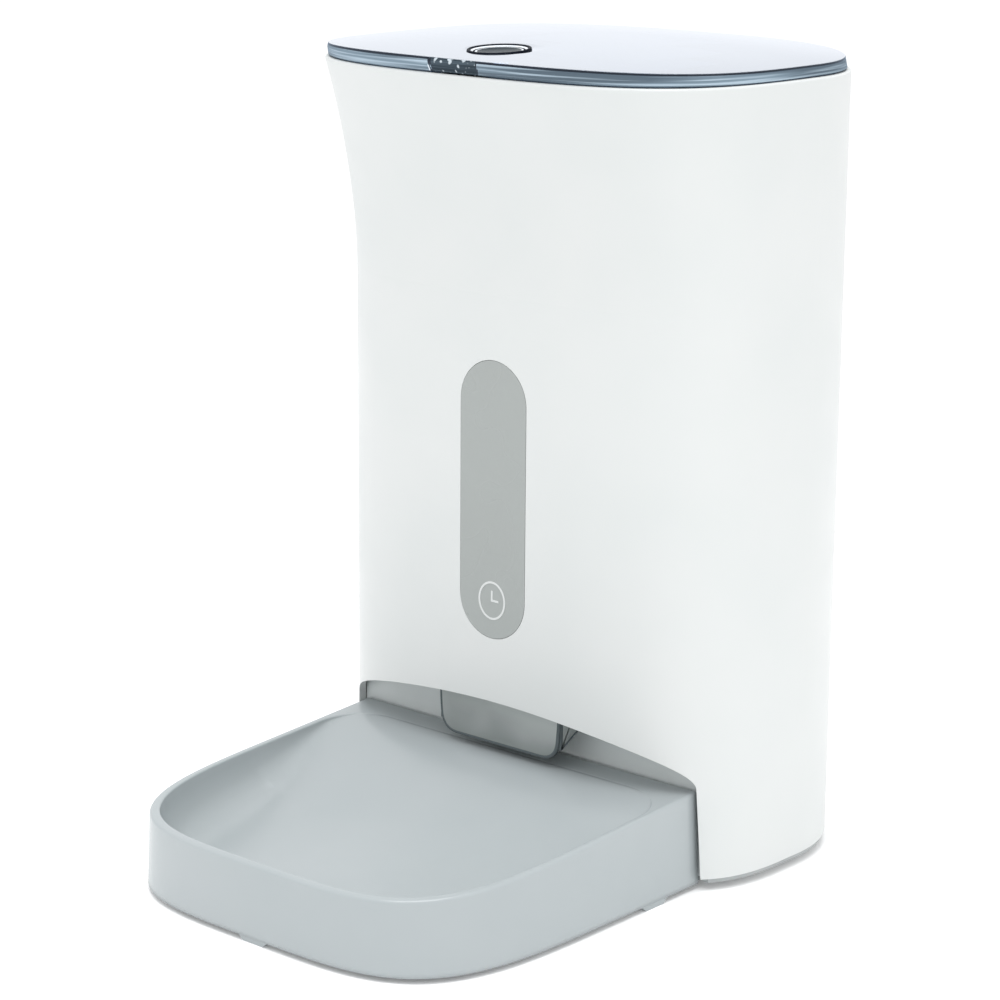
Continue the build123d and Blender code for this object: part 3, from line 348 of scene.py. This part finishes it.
steel = metal("Zinc_plated_steel", "#B9BCC0", 0.30, (1, 1, 0.1))
bronze = metal("Sintered_bronze", "#B0875A", 0.42, (1, 1, 1))
acetal = moulded("White_acetal", "#E4E2DA", "#DBD9D0", 0.38, 0.9, 0.006)
black_rubber = moulded("Black_rubber", "#1B1B1B", "#262524", 0.72, 0.9, 0.03, 0.3)
silicone = moulded("Grey_silicone", "#B2B8BA", "#A9B0B3", 0.55, 1.4, 0.01, 0.35)
board_green = moulded("Green_circuit_board", "#1E5A38", "#184A2E", 0.25, 1.3, 0.01)
print("materials so far:", len(bpy.data.materials))

# %% [markdown]
# ## Dressing the frame's own pieces
# A piece whose construction model already has the right shape keeps that shape and only
# gets a finish. Its mesh is never touched: the finish goes into its material slots.

# %% Give each node its finish
finish_of = {
    "housing_shell": white_abs,
    "base_plate": base_abs,
    "battery_door": base_abs,
    "recess_panel": recess_abs_painted_fill,
    "front_panel": panel_abs,
    "bowl": bowl_abs,
    "outlet_chute": scoop_glass,
    "lid": lid_glass,
    "lid_button": dark_abs,
    "latch_cover": rim_glass,
    "hopper": frosted_bin,
    "top_frame": frosted_bin,
    "panel_icon": white_abs,
    "dispenser_pan": acetal,
    "rotor": acetal,
    "stirrer": acetal,
    "drive_gear": acetal,
    "desiccant_box": acetal,
    "desiccant_cover": acetal,
    "vane_wipers": silicone,
    "lid_seal": silicone,
    "bowl_feet": bowl_abs,
    "rubber_feet": black_rubber,
    "button_bezel": dark_abs,
    "latch_slider": dark_abs,
    "battery_box": dark_abs,
    "outlet_sensors": dark_abs,
    "power_socket": dark_abs,
    "display_board": board_green,
    "control_board": board_green,
    "socket_board": board_green,
    "pan_bush": bronze,
    "motor_pinion": bronze,
}


def dress(node_object, material):
    """Put one finish on every slot of a node."""
    slots = node_object.data.materials
    for index in range(max(1, len(slots))):
        if index < len(slots):
            slots[index] = material
        else:
            slots.append(material)


for node_name, node_object in nodes.items():
    dress(node_object, finish_of.get(node_name, steel))
print("dressed:", len(nodes), "in steel:", sorted(set(nodes) - set(finish_of)))

# %% [markdown]
# ## Loops and skins
# The refined pieces are skins stretched over closed loops of points. Every loop is found
# in the same way: from a middle point, go out along evenly spread directions until the
# outline is met. The outline is a test that says which points are inside, so halving the
# interval forty times finds the crossing to well under a micrometre. Sizes are in
# millimetres until the mesh is made.

# %% Loop and skin helpers
TURN = np.linspace(0, 2 * np.pi, 360, endpoint=False)


def crossing(centre, turn, inside, far=260.0):
    """Distance from a centre to an outline along each direction, by interval halving."""
    near, beyond = np.zeros_like(turn), np.full_like(turn, far)
    for _ in range(40):
        middle = (near + beyond) / 2
        hit = inside(centre[0] + middle * np.cos(turn), centre[1] + middle * np.sin(turn))
        near, beyond = np.where(hit, middle, near), np.where(hit, beyond, middle)
    return near


def loop(centre, turn, reach, height):
    """A closed loop of points at a distance from a centre, at a height per point."""
    x = centre[0] + reach * np.cos(turn)
    y = centre[1] + reach * np.sin(turn)
    return np.stack([x, y, np.broadcast_to(height, x.shape)], axis=1)


def shell_of(rows, wrap, row_material=None):
    """Corners, faces and material numbers of a closed skin over loops of equal length.

    wrap joins the last loop to the first; without it the first and the last loop are closed
    by a fan to their middle. The faces are turned outwards by the sign of the volume, the
    sum over triangles of one sixth of the triple product of their corners.
    """
    rows = np.asarray(rows)
    count, around = rows.shape[:2]
    verts = rows.reshape(-1, 3)
    first = np.arange(count if wrap else count - 1)[:, None] * around
    second = (first + around) % (count * around)
    step = np.arange(around)[None, :]
    following = (step + 1) % around
    quads = np.stack(
        [first + step, first + following, second + following, second + step], axis=2
    ).reshape(-1, 4)
    a, b, c, d = (verts[quads[:, i]] for i in range(4))
    volume = (np.cross(a, b) * c).sum() + (np.cross(a, c) * d).sum()
    faces = quads.tolist()
    kinds = np.repeat(np.arange(len(first)), around)
    if not wrap:
        verts = np.vstack([verts, rows[0].mean(axis=0), rows[-1].mean(axis=0)])
        top, bottom, low = count * around, count * around + 1, (count - 1) * around
        spokes = zip(range(around), following[0].tolist())
        caps = [([top, k, j], [bottom, low + j, low + k]) for j, k in spokes]
        faces += [cap for pair in caps for cap in pair]
        kinds = np.append(kinds, [0, len(first) - 1] * around)
    if volume < 0:
        faces = [face[::-1] for face in faces]
    if row_material is None:
        return verts, faces, np.zeros(len(faces), int)
    return verts, faces, np.asarray(row_material)[kinds]


def skin(name, shells, body, node, materials):
    """One mesh of closed shells, standing in for a CAD node on its body."""
    verts, faces, kinds = np.empty((0, 3)), [], []
    for shell_verts, shell_faces, shell_kinds in shells:
        faces += [[corner + len(verts) for corner in face] for face in shell_faces]
        verts = np.vstack([verts, shell_verts])
        kinds += shell_kinds.tolist()
    mesh = bpy.data.meshes.new(name)
    mesh.from_pydata((verts * MM).tolist(), [], faces)
    for material in materials:
        mesh.materials.append(material)
    mesh.polygons.foreach_set("material_index", kinds)
    mesh.polygons.foreach_set("use_smooth", [True] * len(mesh.polygons))
    mesh.update()
    made = bpy.data.objects.new(name, mesh)
    bpy.context.collection.objects.link(made)
    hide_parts(node)
    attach(made, body)
    low, high = verts.min(axis=0).round(2), verts.max(axis=0).round(2)
    print(name, "faces:", len(faces), "box mm:", low, high)
    return made


# %% [markdown]
# ## Slabs
# Flat moulded pieces such as the scoop's walls are slabs: a polygon with rounded corners,
# given a thickness. Each corner is a quadratic curve between two points on its sides, and
# the rim of the slab is rounded over by a small radius. A border along the rim can have a
# material of its own, painted shade: the cut edge of a clear plate gathers light and looks
# dark, and a darker colour there stands in for that.

# %% Slab helpers


def rounded(points, radii, steps=8):
    """A polygon whose corners are replaced by quadratic curves, as points in order."""
    points = np.asarray(points, float)
    share = np.linspace(0, 1, steps)[:, None]
    out = []
    for i, corner in enumerate(points):
        before, after = points[i - 1] - corner, points[(i + 1) % len(points)] - corner
        start = corner + before / np.linalg.norm(before) * radii[i]
        end = corner + after / np.linalg.norm(after) * radii[i]
        bend = 2 * share * (1 - share) * corner
        out.append((1 - share) ** 2 * start + bend + share**2 * end)
    return np.vstack(out)


def moved_in(outline, distance):
    """The outline with every point moved inwards, square to its neighbours' line."""
    along = np.roll(outline, -1, axis=0) - np.roll(outline, 1, axis=0)
    across = np.stack([-along[:, 1], along[:, 0]], axis=1)
    across /= np.linalg.norm(across, axis=1)[:, None]
    to_middle = ((outline.mean(axis=0) - outline) * across).sum()
    return outline + across * distance * np.sign(to_middle)


def slab(outline, axes, low, high, edge=0.35, border=0.0):
    """A closed slab: the outline lies in two axes, low and high are along the third.

    Each face is a heart, a border and a rim of the edge's radius. The first and the last
    band of the skin, the hearts' outer parts, take material 0 and the rest material 1.
    """
    third = 3 - sum(axes)
    middle = outline.mean(axis=0)
    heart = middle + 0.3 * (outline - middle)
    rings = [heart] + [moved_in(outline, d) for d in (border + edge, edge, 0.3 * edge)]
    depths = (0.0, 0.0, 0.0, 0.3 * edge, edge)
    rows = []
    for face, turn in ((low, 1), (high, -1)):
        side = []
        for ring, depth in zip(rings + [outline], depths):
            row = np.empty((len(outline), 3))
            row[:, list(axes)] = ring
            row[:, third] = face + turn * depth
            side.append(row)
        rows += side[::turn]
    return shell_of(rows, False, [0, 1, 1, 1, 1, 1, 1, 1, 0])


# %% [markdown]
# ## The bowl
# The bowl's plan is a superellipse in front, |x/a|^4 + |y/b|^4 = 1, that runs on in
# straight sides to the back. Its floor is a ramp: it leaves the rear ledge level and falls
# by 23 (1 - exp(-(s/52)^2)) mm at s mm from the back, so food slides to the front. Where
# the ramp meets the walls a cove fills the corner. The cove is about as wide as the wall is
# high there, which is why its edge fans out from the rear corners.

# %% Bowl outline and basin
bowl_middle = (0.0, -55.0)
bowl_half_width, bowl_front_reach, bowl_rear_y, bowl_round_y = 93.05, 114.0, 23.6, -25.7
bowl_bottom, bowl_wall = 2.35, 2.6
basin_rear_y, basin_inset, basin_corner = 11.0, 4.6, 22.0
ramp_fall, ramp_length = 23.0, 52.0
bowl_turn = TURN.copy()
# two of the directions are moved onto the rear corners, so that those stay sharp
for corner_x in (-92.0, 92.0):
    corner = np.arctan2(bowl_rear_y - bowl_middle[1], corner_x) % (2 * np.pi)
    bowl_turn[np.abs(bowl_turn - corner).argmin()] = corner


def rim_height(y):
    """Height of the bowl's rim, which slopes down to the front."""
    return 41.7 - 0.057 * (23.9 - y)


def bowl_outline(inset, rear_y, rear_corner):
    """Reach of the bowl's outline from its middle, moved in by inset."""
    half, long = bowl_half_width - inset, bowl_front_reach - inset

    def inside(x, y):
        x = np.abs(x)
        front = (x / half) ** 4 + (np.abs(y - bowl_round_y) / long) ** 4 < 1
        corner = np.hypot(x - half + rear_corner, y - rear_y + rear_corner) > rear_corner
        cut = (x > half - rear_corner) & (y > rear_y - rear_corner) & corner
        back = (x < half) & (y < rear_y) & ~cut
        return np.where(y < bowl_round_y, front, back)

    return crossing(bowl_middle, bowl_turn, inside)


def basin_drop(y):
    """Fall of the basin's floor below the rim: 23 (1 - exp(-(s/52)^2))."""
    past_ledge = np.maximum(0, basin_rear_y - y) / ramp_length
    return ramp_fall * (1 - np.exp(-(past_ledge**2)))


def bowl_loop(reach, height):
    """A loop of the bowl at a reach from its middle."""
    return loop(bowl_middle, bowl_turn, reach, height)


def bowl_y(reach):
    """How far along the bowl each point of a loop lies."""
    return bowl_middle[1] + reach * np.sin(bowl_turn)


# %% Bowl rows
outer = bowl_outline(0.0, bowl_rear_y, 0.3)
inner = bowl_outline(basin_inset, basin_rear_y, basin_corner)
outer_y, inner_y = bowl_y(outer), bowl_y(inner)
outer_rim = rim_height(outer_y)
edge_round = np.where(outer_y > 22, 0.8, 1.6)
lean = 1.573 / 43.65
# inner_face is the share of a step outwards that goes square to the inner wall
tangent = np.roll(bowl_loop(inner, 0), -1, axis=0) - np.roll(bowl_loop(inner, 0), 1, axis=0)
normal = np.stack([tangent[:, 1], -tangent[:, 0]], axis=1)
normal /= np.linalg.norm(normal, axis=1)[:, None]
inner_face = np.abs(normal[:, 0] * np.cos(bowl_turn) + normal[:, 1] * np.sin(bowl_turn))
# the basin: the ramp out from its middle, then the cove, then the lip's soft edge
cove = np.maximum(0.95 * basin_drop(inner_y + 4 * np.sign(-inner_y - 50)), 0.6)
cove = np.minimum(cove, 0.8 * inner * inner_face)
cove_reach = inner - cove / inner_face
basin = []
for share in np.linspace(0.02, 1.0, 36):
    y = bowl_y(cove_reach * share)
    basin.append(bowl_loop(cove_reach * share, rim_height(y) - basin_drop(y)))
lip = np.minimum(0.8, 0.06 + 0.6 * basin_drop(inner_y))
for angle in np.linspace(0.06, 1.0, 16) * np.pi / 2:
    reach = cove_reach + (inner - cove_reach) * np.sin(angle) ** 0.9
    y = bowl_y(reach)
    rise = 1 - (1 - np.sin(angle) ** (0.9 * 2.3)) ** (1 / 2.3)
    fall = lip + (basin_drop(y) - lip).clip(0) * (1 - rise)
    basin.append(bowl_loop(reach, rim_height(y) - fall))
rows = list(basin)
lip_round = 0.8
for angle in np.linspace(0.2, 1.0, 5) * np.pi / 2:
    reach = inner + lip_round * (1 - np.cos(angle)) / inner_face
    rows.append(bowl_loop(reach, rim_height(bowl_y(reach)) - lip * (1 - np.sin(angle))))
# the rim, its rounded outer edge and the outer wall, which leans in towards the top
rim_start = inner + lip_round / inner_face
rim_end = outer - edge_round - lean * (outer_rim - bowl_bottom)
for share in (0.25, 0.5, 0.75):
    reach = rim_start + (rim_end - rim_start) * share
    rows.append(bowl_loop(reach, rim_height(bowl_y(reach))))
for angle in np.linspace(0, 1, 7) * np.pi / 2:
    reach = rim_end + edge_round * np.sin(angle)
    rows.append(bowl_loop(reach, outer_rim - edge_round * (1 - np.cos(angle))))
for share in (0.02, 0.15, 0.35, 0.55, 0.75, 0.93, 1.0):
    height = outer_rim - edge_round + (bowl_bottom - outer_rim + edge_round) * share
    rows.append(bowl_loop(outer - lean * (height - bowl_bottom), height))
# the underside: in along the foot, up inside the wall, and under the basin
face = outer - bowl_wall
for share in (0.0, 0.3, 0.6, 0.95, 1.0):
    height = bowl_bottom + (outer_rim - bowl_wall - bowl_bottom) * share
    rows.append(bowl_loop(face - lean * (height - bowl_bottom), height))
for row in reversed(basin):
    reach = np.hypot(row[:, 0] - bowl_middle[0], row[:, 1] - bowl_middle[1])
    share = np.minimum(1, reach / inner)
    reach = np.minimum(reach + share * bowl_wall / inner_face, face - lean * 39 - 0.05)
    rows.append(bowl_loop(reach, row[:, 2] - bowl_wall))
skin("bowl_skin", [shell_of(rows, False)], "bowl", "bowl", [bowl_abs])

# %% [markdown]
# ## The lid
# The lid's plan is the body's: |x/a|^p + |y/b|^p = 1, with p = 3.32 in front and 2.35
# behind. Its plate rises from its edge as a shallow dome, (337.3 - e) (1 - u^1.7) mm, where
# u is the share of the way from the middle to the edge. The edge's height e is 333.2 mm in
# the middle of the front and falls to 331.8 mm at the sides. Loops run from the button's
# hole out to the edge, round it and down the skirt, then back underneath, 3 mm lower.

# %% Lid outline and dome
button_middle = (0.0, 2.7)
lid_edge, lid_peak, rim_radius = 333.2, 337.3, 0.5
widest_height = 331.8
skirt_bottom, lid_thickness = 327.4, 3.0
body_middle_y, body_half_width, body_half_depth = 70.1, 107.4, 69.6
front_power, rear_power, dome_power = 3.32, 2.35, 1.7


def flare(height):
    """How far the body's front leans out at a height."""
    return 28.1 * (np.maximum(0, height - 236.5) / 96.5) ** 1.685


def body_share(x, y, inset, height):
    """Share u of the way from the body's middle to its outline at a point."""
    in_front = y < body_middle_y
    depth = body_half_depth - inset + np.where(in_front, flare(height), 0.0)
    power = np.where(in_front, front_power, rear_power)
    across = np.abs(x) / (body_half_width - inset)
    along = np.abs(y - body_middle_y) / depth
    return (across**power + along**power) ** (1 / power)


def lid_outline(inset, height):
    """Reach of the lid's outline from the button's middle."""
    height = min(height, widest_height)
    return crossing(button_middle, TURN, lambda x, y: body_share(x, y, inset, height) < 1)


def edge_height(x):
    """Height of the lid's edge, highest in the middle: e = 333.2 - 1.4 (x/106)^4."""
    return lid_edge - 1.4 * (np.abs(x) / 106) ** 4


def dome(x, y, inset=2.9):
    """Height of the lid's plate above a point."""
    share = np.minimum(1, body_share(x, y, inset, widest_height))
    edge = edge_height(x)
    return edge + (lid_peak - edge) * (1 - share**dome_power)


def dome_loop(reach, drop, inset=2.9):
    """A loop round the button's middle, by a drop below the lid's plate."""
    x = button_middle[0] + reach * np.cos(TURN)
    y = button_middle[1] + reach * np.sin(TURN)
    return loop(button_middle, TURN, reach, dome(x, y, inset) - drop)


# %% Lid rows
# each band of the skin has one of these finishes, which are the lid's material numbers
# the second finish is painted shade where the rim turns down and dark joints by the latch;
# the fifth is a painted highlight
PLATE, SHADE_AND_JOINT, BAND, LATCH, PAINTED_HIGHLIGHT = range(5)
lid_materials = [lid_glass, shade_and_joint_glass, rim_glass, latch_glass, painted_highlight_glass]
hole = np.full_like(TURN, 12.9)
hole_round = 0.25
edge_inset = 2.4
plate_edge = lid_outline(edge_inset + rim_radius, lid_edge)
rows = [dome_loop(hole, drop) for drop in (1.2, 0.5, hole_round)]
for share in (0.004, 0.05, *np.linspace(0.1, 0.9, 26), 0.93, 0.955, 0.975, 0.99, 1.0):
    reach = hole + hole_round + (plate_edge - hole - hole_round) * share
    rows.append(dome_loop(reach, 0.0))
kinds = [PLATE] * len(rows)
# the rounded rim; where it turns down, its outer part is painted shade
for angle in np.linspace(0.16, 1, 6) * np.pi / 2:
    reach = lid_outline(edge_inset + rim_radius * (1 - np.sin(angle)), lid_edge)
    edge = edge_height(reach * np.cos(TURN))
    rows.append(loop(button_middle, TURN, reach, edge - rim_radius * (1 - np.cos(angle))))
    kinds.append(PLATE if angle < 0.6 else SHADE_AND_JOINT)
# the skirt's outside, from the rim down; its two ends are dark lines at its cut edges,
# painted shade
for share in (0.96, 0.9, 0.8, 0.66, 0.5, 0.34, 0.18, 0.06, 0.01):
    inset = 1.5 + 0.9 * share + (0.25 if share < 0.02 else 0)
    reach = lid_outline(inset, skirt_bottom + 6 * share)
    edge = edge_height(reach * np.cos(TURN)) - rim_radius
    height = skirt_bottom + (edge - skirt_bottom) * share
    rows.append(loop(button_middle, TURN, reach, height))
    kinds.append(SHADE_AND_JOINT if share > 0.92 or share < 0.02 else BAND)
# the skirt's lower edge and inside
for inset, height in (
    (1.8, skirt_bottom),
    (3.9, skirt_bottom),
    (4.1, skirt_bottom + 0.2),
    (4.1, skirt_bottom + 1.2),
):
    rows.append(loop(button_middle, TURN, lid_outline(inset, height), height))
    kinds.append(BAND)
# the plate's underside
under_inset = 4.6
under_edge = lid_outline(under_inset, 330.0)
for share in (1.0, 0.97, 0.9, *np.linspace(0.8, 0.05, 16), 0.0):
    reach = hole + (under_edge - hole) * share
    rows.append(dome_loop(reach, lid_thickness, under_inset))
    kinds.append(PLATE)
corners, faces, kinds = shell_of(rows, True, kinds)
# the latch sits behind the middle of the front rim, between two thin dark edges, which are
# its joints; a thin painted highlight lies outside the left one
middles = corners[np.array(faces)].mean(axis=1)
front = (middles[:, 1] < 0) & (kinds > PLATE)
for start, end, kind in (
    (-13.5, -13.1, PAINTED_HIGHLIGHT),
    (-13.1, -12.4, SHADE_AND_JOINT),
    (-12.4, -12.0, BAND),
    (-12.0, -11.4, SHADE_AND_JOINT),
    (-11.4, 11.6, LATCH),
    (11.6, 12.4, SHADE_AND_JOINT),
):
    kinds[front & (middles[:, 0] > start) & (middles[:, 0] < end)] = kind
plate = (corners, faces, kinds)
# the knuckle turns on the hinge pin, and a short web joins it to the plate
hinge, knuckle_radius, knuckle_half = (136.6, 323.4), 2.8, 15.0
directions = np.stack([np.cos(TURN[::8]), np.sin(TURN[::8])], axis=1)
circle = np.array(hinge) + knuckle_radius * directions
web = rounded([(134.2, 323.4), (137.8, 323.4), (137.8, 329.4), (134.2, 329.4)], [0.5] * 4)
knuckle = slab(circle, (1, 2), -knuckle_half, knuckle_half)
shells = [plate, knuckle, slab(web, (1, 2), -knuckle_half, knuckle_half)]
skin("lid_skin", shells, "lid", "lid", lid_materials)

# %% Button ring and button
# The ring's crown and the button's dish both follow the dome, so each loop takes its height
# from the dome above it. A bright line of painted highlight runs round each crown.
DARK, PAINTED_GLINT = range(2)
ring_bottom, ring_inside = 329.6, 10.35
rows = [loop(button_middle, TURN, reach, ring_bottom) for reach in (ring_inside, 12.8)]
kinds = [DARK, DARK]
for reach, drop in (
    (12.85, 0.5),
    (12.85, -0.35),
    (12.7, -0.48),
    (12.5, -0.5),
    (12.0, -0.45),
    (11.6, -0.3),
    (11.4, 0.0),
    (10.9, 0.15),
    (10.5, 0.4),
    (ring_inside, 1.2),
):
    rows.append(dome_loop(np.full_like(TURN, reach), drop))
    kinds.append(PAINTED_GLINT if 10.6 < reach < 11.5 else DARK)
ring_shells = [shell_of(rows, True, kinds)]
ring_materials = [ring_black, painted_glint_rim]
skin("button_ring", ring_shells, "lid", "button_bezel", ring_materials)

rows = []
for reach, drop in (
    (0.3, 1.3),
    (2.0, 1.28),
    (4.0, 1.2),
    (6.0, 1.05),
    (7.6, 0.8),
    (8.4, 0.55),
    (8.9, 0.4),
    (9.3, 0.35),
    (9.7, 0.45),
    (9.95, 0.8),
):
    rows.append(dome_loop(np.full_like(TURN, reach), drop))
for reach, height in ((9.95, 331.2), (9.6, 331.0), (4.0, 331.0)):
    rows.append(loop(button_middle, TURN, reach, height))
kinds = [DARK] * 6 + [PAINTED_GLINT] * 2 + [DARK] * 4
# the stem under the button ends in the wedge that draws the latch back
stem_outline = [(-1.3, 331.5), (-1.3, 325.9), (1.7, 325.9), (4.7, 328.9), (4.7, 331.5)]
stem = rounded(stem_outline, [0.4] * 5)
button_shells = [shell_of(rows, False, kinds), slab(stem, (1, 2), -4.0, 4.0)]
skin(
    "button_dish",
    button_shells,
    "lid_button",
    "lid_button",
    [button_smoke, painted_glint_rim],
)

# %% [markdown]
# ## The outlet scoop
# The scoop is one clear moulding: a front plate with rounded lower corners, two side walls
# whose lower edges climb to the back, and a floor that slopes down between them.

# %% Scoop walls
scoop_half_width, scoop_wall, scoop_top, scoop_back_y = 33.4, 1.8, 104.7, 45.4
plate_low, plate_high = 44.5, 62.0
plate_outline = rounded(
    [
        (-scoop_half_width, scoop_top),
        (-scoop_half_width, plate_high),
        (-32.0, plate_low),
        (32.0, plate_low),
        (scoop_half_width, plate_high),
        (scoop_half_width, scoop_top),
    ],
    [0.6, 4.0, 9.0, 9.0, 4.0, 0.6],
    14,
)
wing_outline = rounded(
    [
        (6.1, 49.2),
        (23.9, 58.9),
        (scoop_back_y, 98.0),
        (scoop_back_y, scoop_top),
        (6.1, scoop_top),
    ],
    [1.0] * 5,
)
slope = rounded([(23.9, 59.4), (scoop_back_y, 98.0), (43.6, 98.6), (23.9, 63.1)], [0.3] * 4)
upright = rounded(
    [(43.6, 97.5), (scoop_back_y, 97.5), (scoop_back_y, scoop_top), (43.6, scoop_top)],
    [0.3] * 4,
)
walls = [slab(plate_outline, (0, 2), 5.2, 7.0, 0.35, 1.0)]
for side in (-1, 1):
    faces_x = (side * (scoop_half_width - scoop_wall), side * scoop_half_width)
    walls.append(slab(wing_outline, (1, 2), min(faces_x), max(faces_x), 0.3, 0.9))
walls.append(slab(slope, (1, 2), -32.5, 32.5, 0.2, 0.3))
walls.append(slab(upright, (1, 2), -32.5, 32.5, 0.2, 0.3))
skin("scoop", walls, "housing", "outlet_chute", [scoop_glass, scoop_painted_edge_shade])

# %% [markdown]
# ## Floor, light and camera
# The feeder stands on white paper in a big tent of light. A pale floor, a bright even sky
# and two large lamps give that soft shading.

# %% Floor and light
floor_mesh = bpy.data.meshes.new("floor")
far = 6.0
floor_corners = [(-far, -far, 0), (far, -far, 0), (far, far, 0), (-far, far, 0)]
floor_mesh.from_pydata(floor_corners, [], [(0, 1, 2, 3)])
glowing_paper, tree, output = new_material("Backlit_white_paper")
paper_cloud = spread(tree, noise(tree, 400.0, 1.0), 0.0, 1.0)
paper_inputs = {
    "Base Color": tint(tree, paper_cloud, linear("#FAFAFA"), linear("#F8F8F8")),
    "Roughness": 0.9,
    "Specular IOR Level": 0.1,
    "Emission Color": linear("#FFFFFF"),
    "Emission Strength": 0.12,
}
paper = add_node(tree, "ShaderNodeBsdfPrincipled", paper_inputs)
tree.links.new(paper.outputs[0], output.inputs[0])
floor = bpy.data.objects.new("floor", floor_mesh)
bpy.context.collection.objects.link(floor)
floor.data.materials.append(glowing_paper)

world = bpy.data.worlds.new("tent")
bpy.context.scene.world = world
world.use_nodes = True
sky = world.node_tree.nodes["Background"]
sky.inputs["Color"].default_value = linear("#FBFCFD")
sky.inputs["Strength"].default_value = 1.05
bpy.context.scene.view_settings.view_transform = "Standard"


def softbox(name, place, target, size, power):
    """A square area lamp that faces a target."""
    lamp = bpy.data.lights.new(name, "AREA")
    lamp.size = size
    lamp.energy = power
    holder = bpy.data.objects.new(name, lamp)
    holder.location = place
    aim = Vector(target) - Vector(place)
    holder.rotation_euler = aim.to_track_quat("-Z", "Y").to_euler()
    bpy.context.collection.objects.link(holder)


softbox("key_right", (1.9, 0.1, 1.0), (0, -0.08, 0.05), 1.0, 1.5)
softbox("top", (0.2, -0.35, 1.9), (0, -0.1, 0.0), 1.2, 20.0)

# %% Camera
camera_data = bpy.data.cameras.new("camera")
camera_data.sensor_width = 36.0
camera_data.lens = 108.09
camera_data.clip_start = 0.05
camera = bpy.data.objects.new("camera", camera_data)
bpy.context.collection.objects.link(camera)
right = Vector((0.75265, 0.65838, 0.00701))
up = Vector((-0.16664, 0.18017, 0.96942))
back = -Vector((-0.63698, 0.73080, -0.24532))
axes = Matrix((right, up, back)).transposed().to_4x4()
camera.matrix_world = Matrix.Translation((0.7857, -0.8963, 0.4534)) @ axes
bpy.context.scene.camera = camera

# %% Update the view layer
bpy.context.view_layer.update()
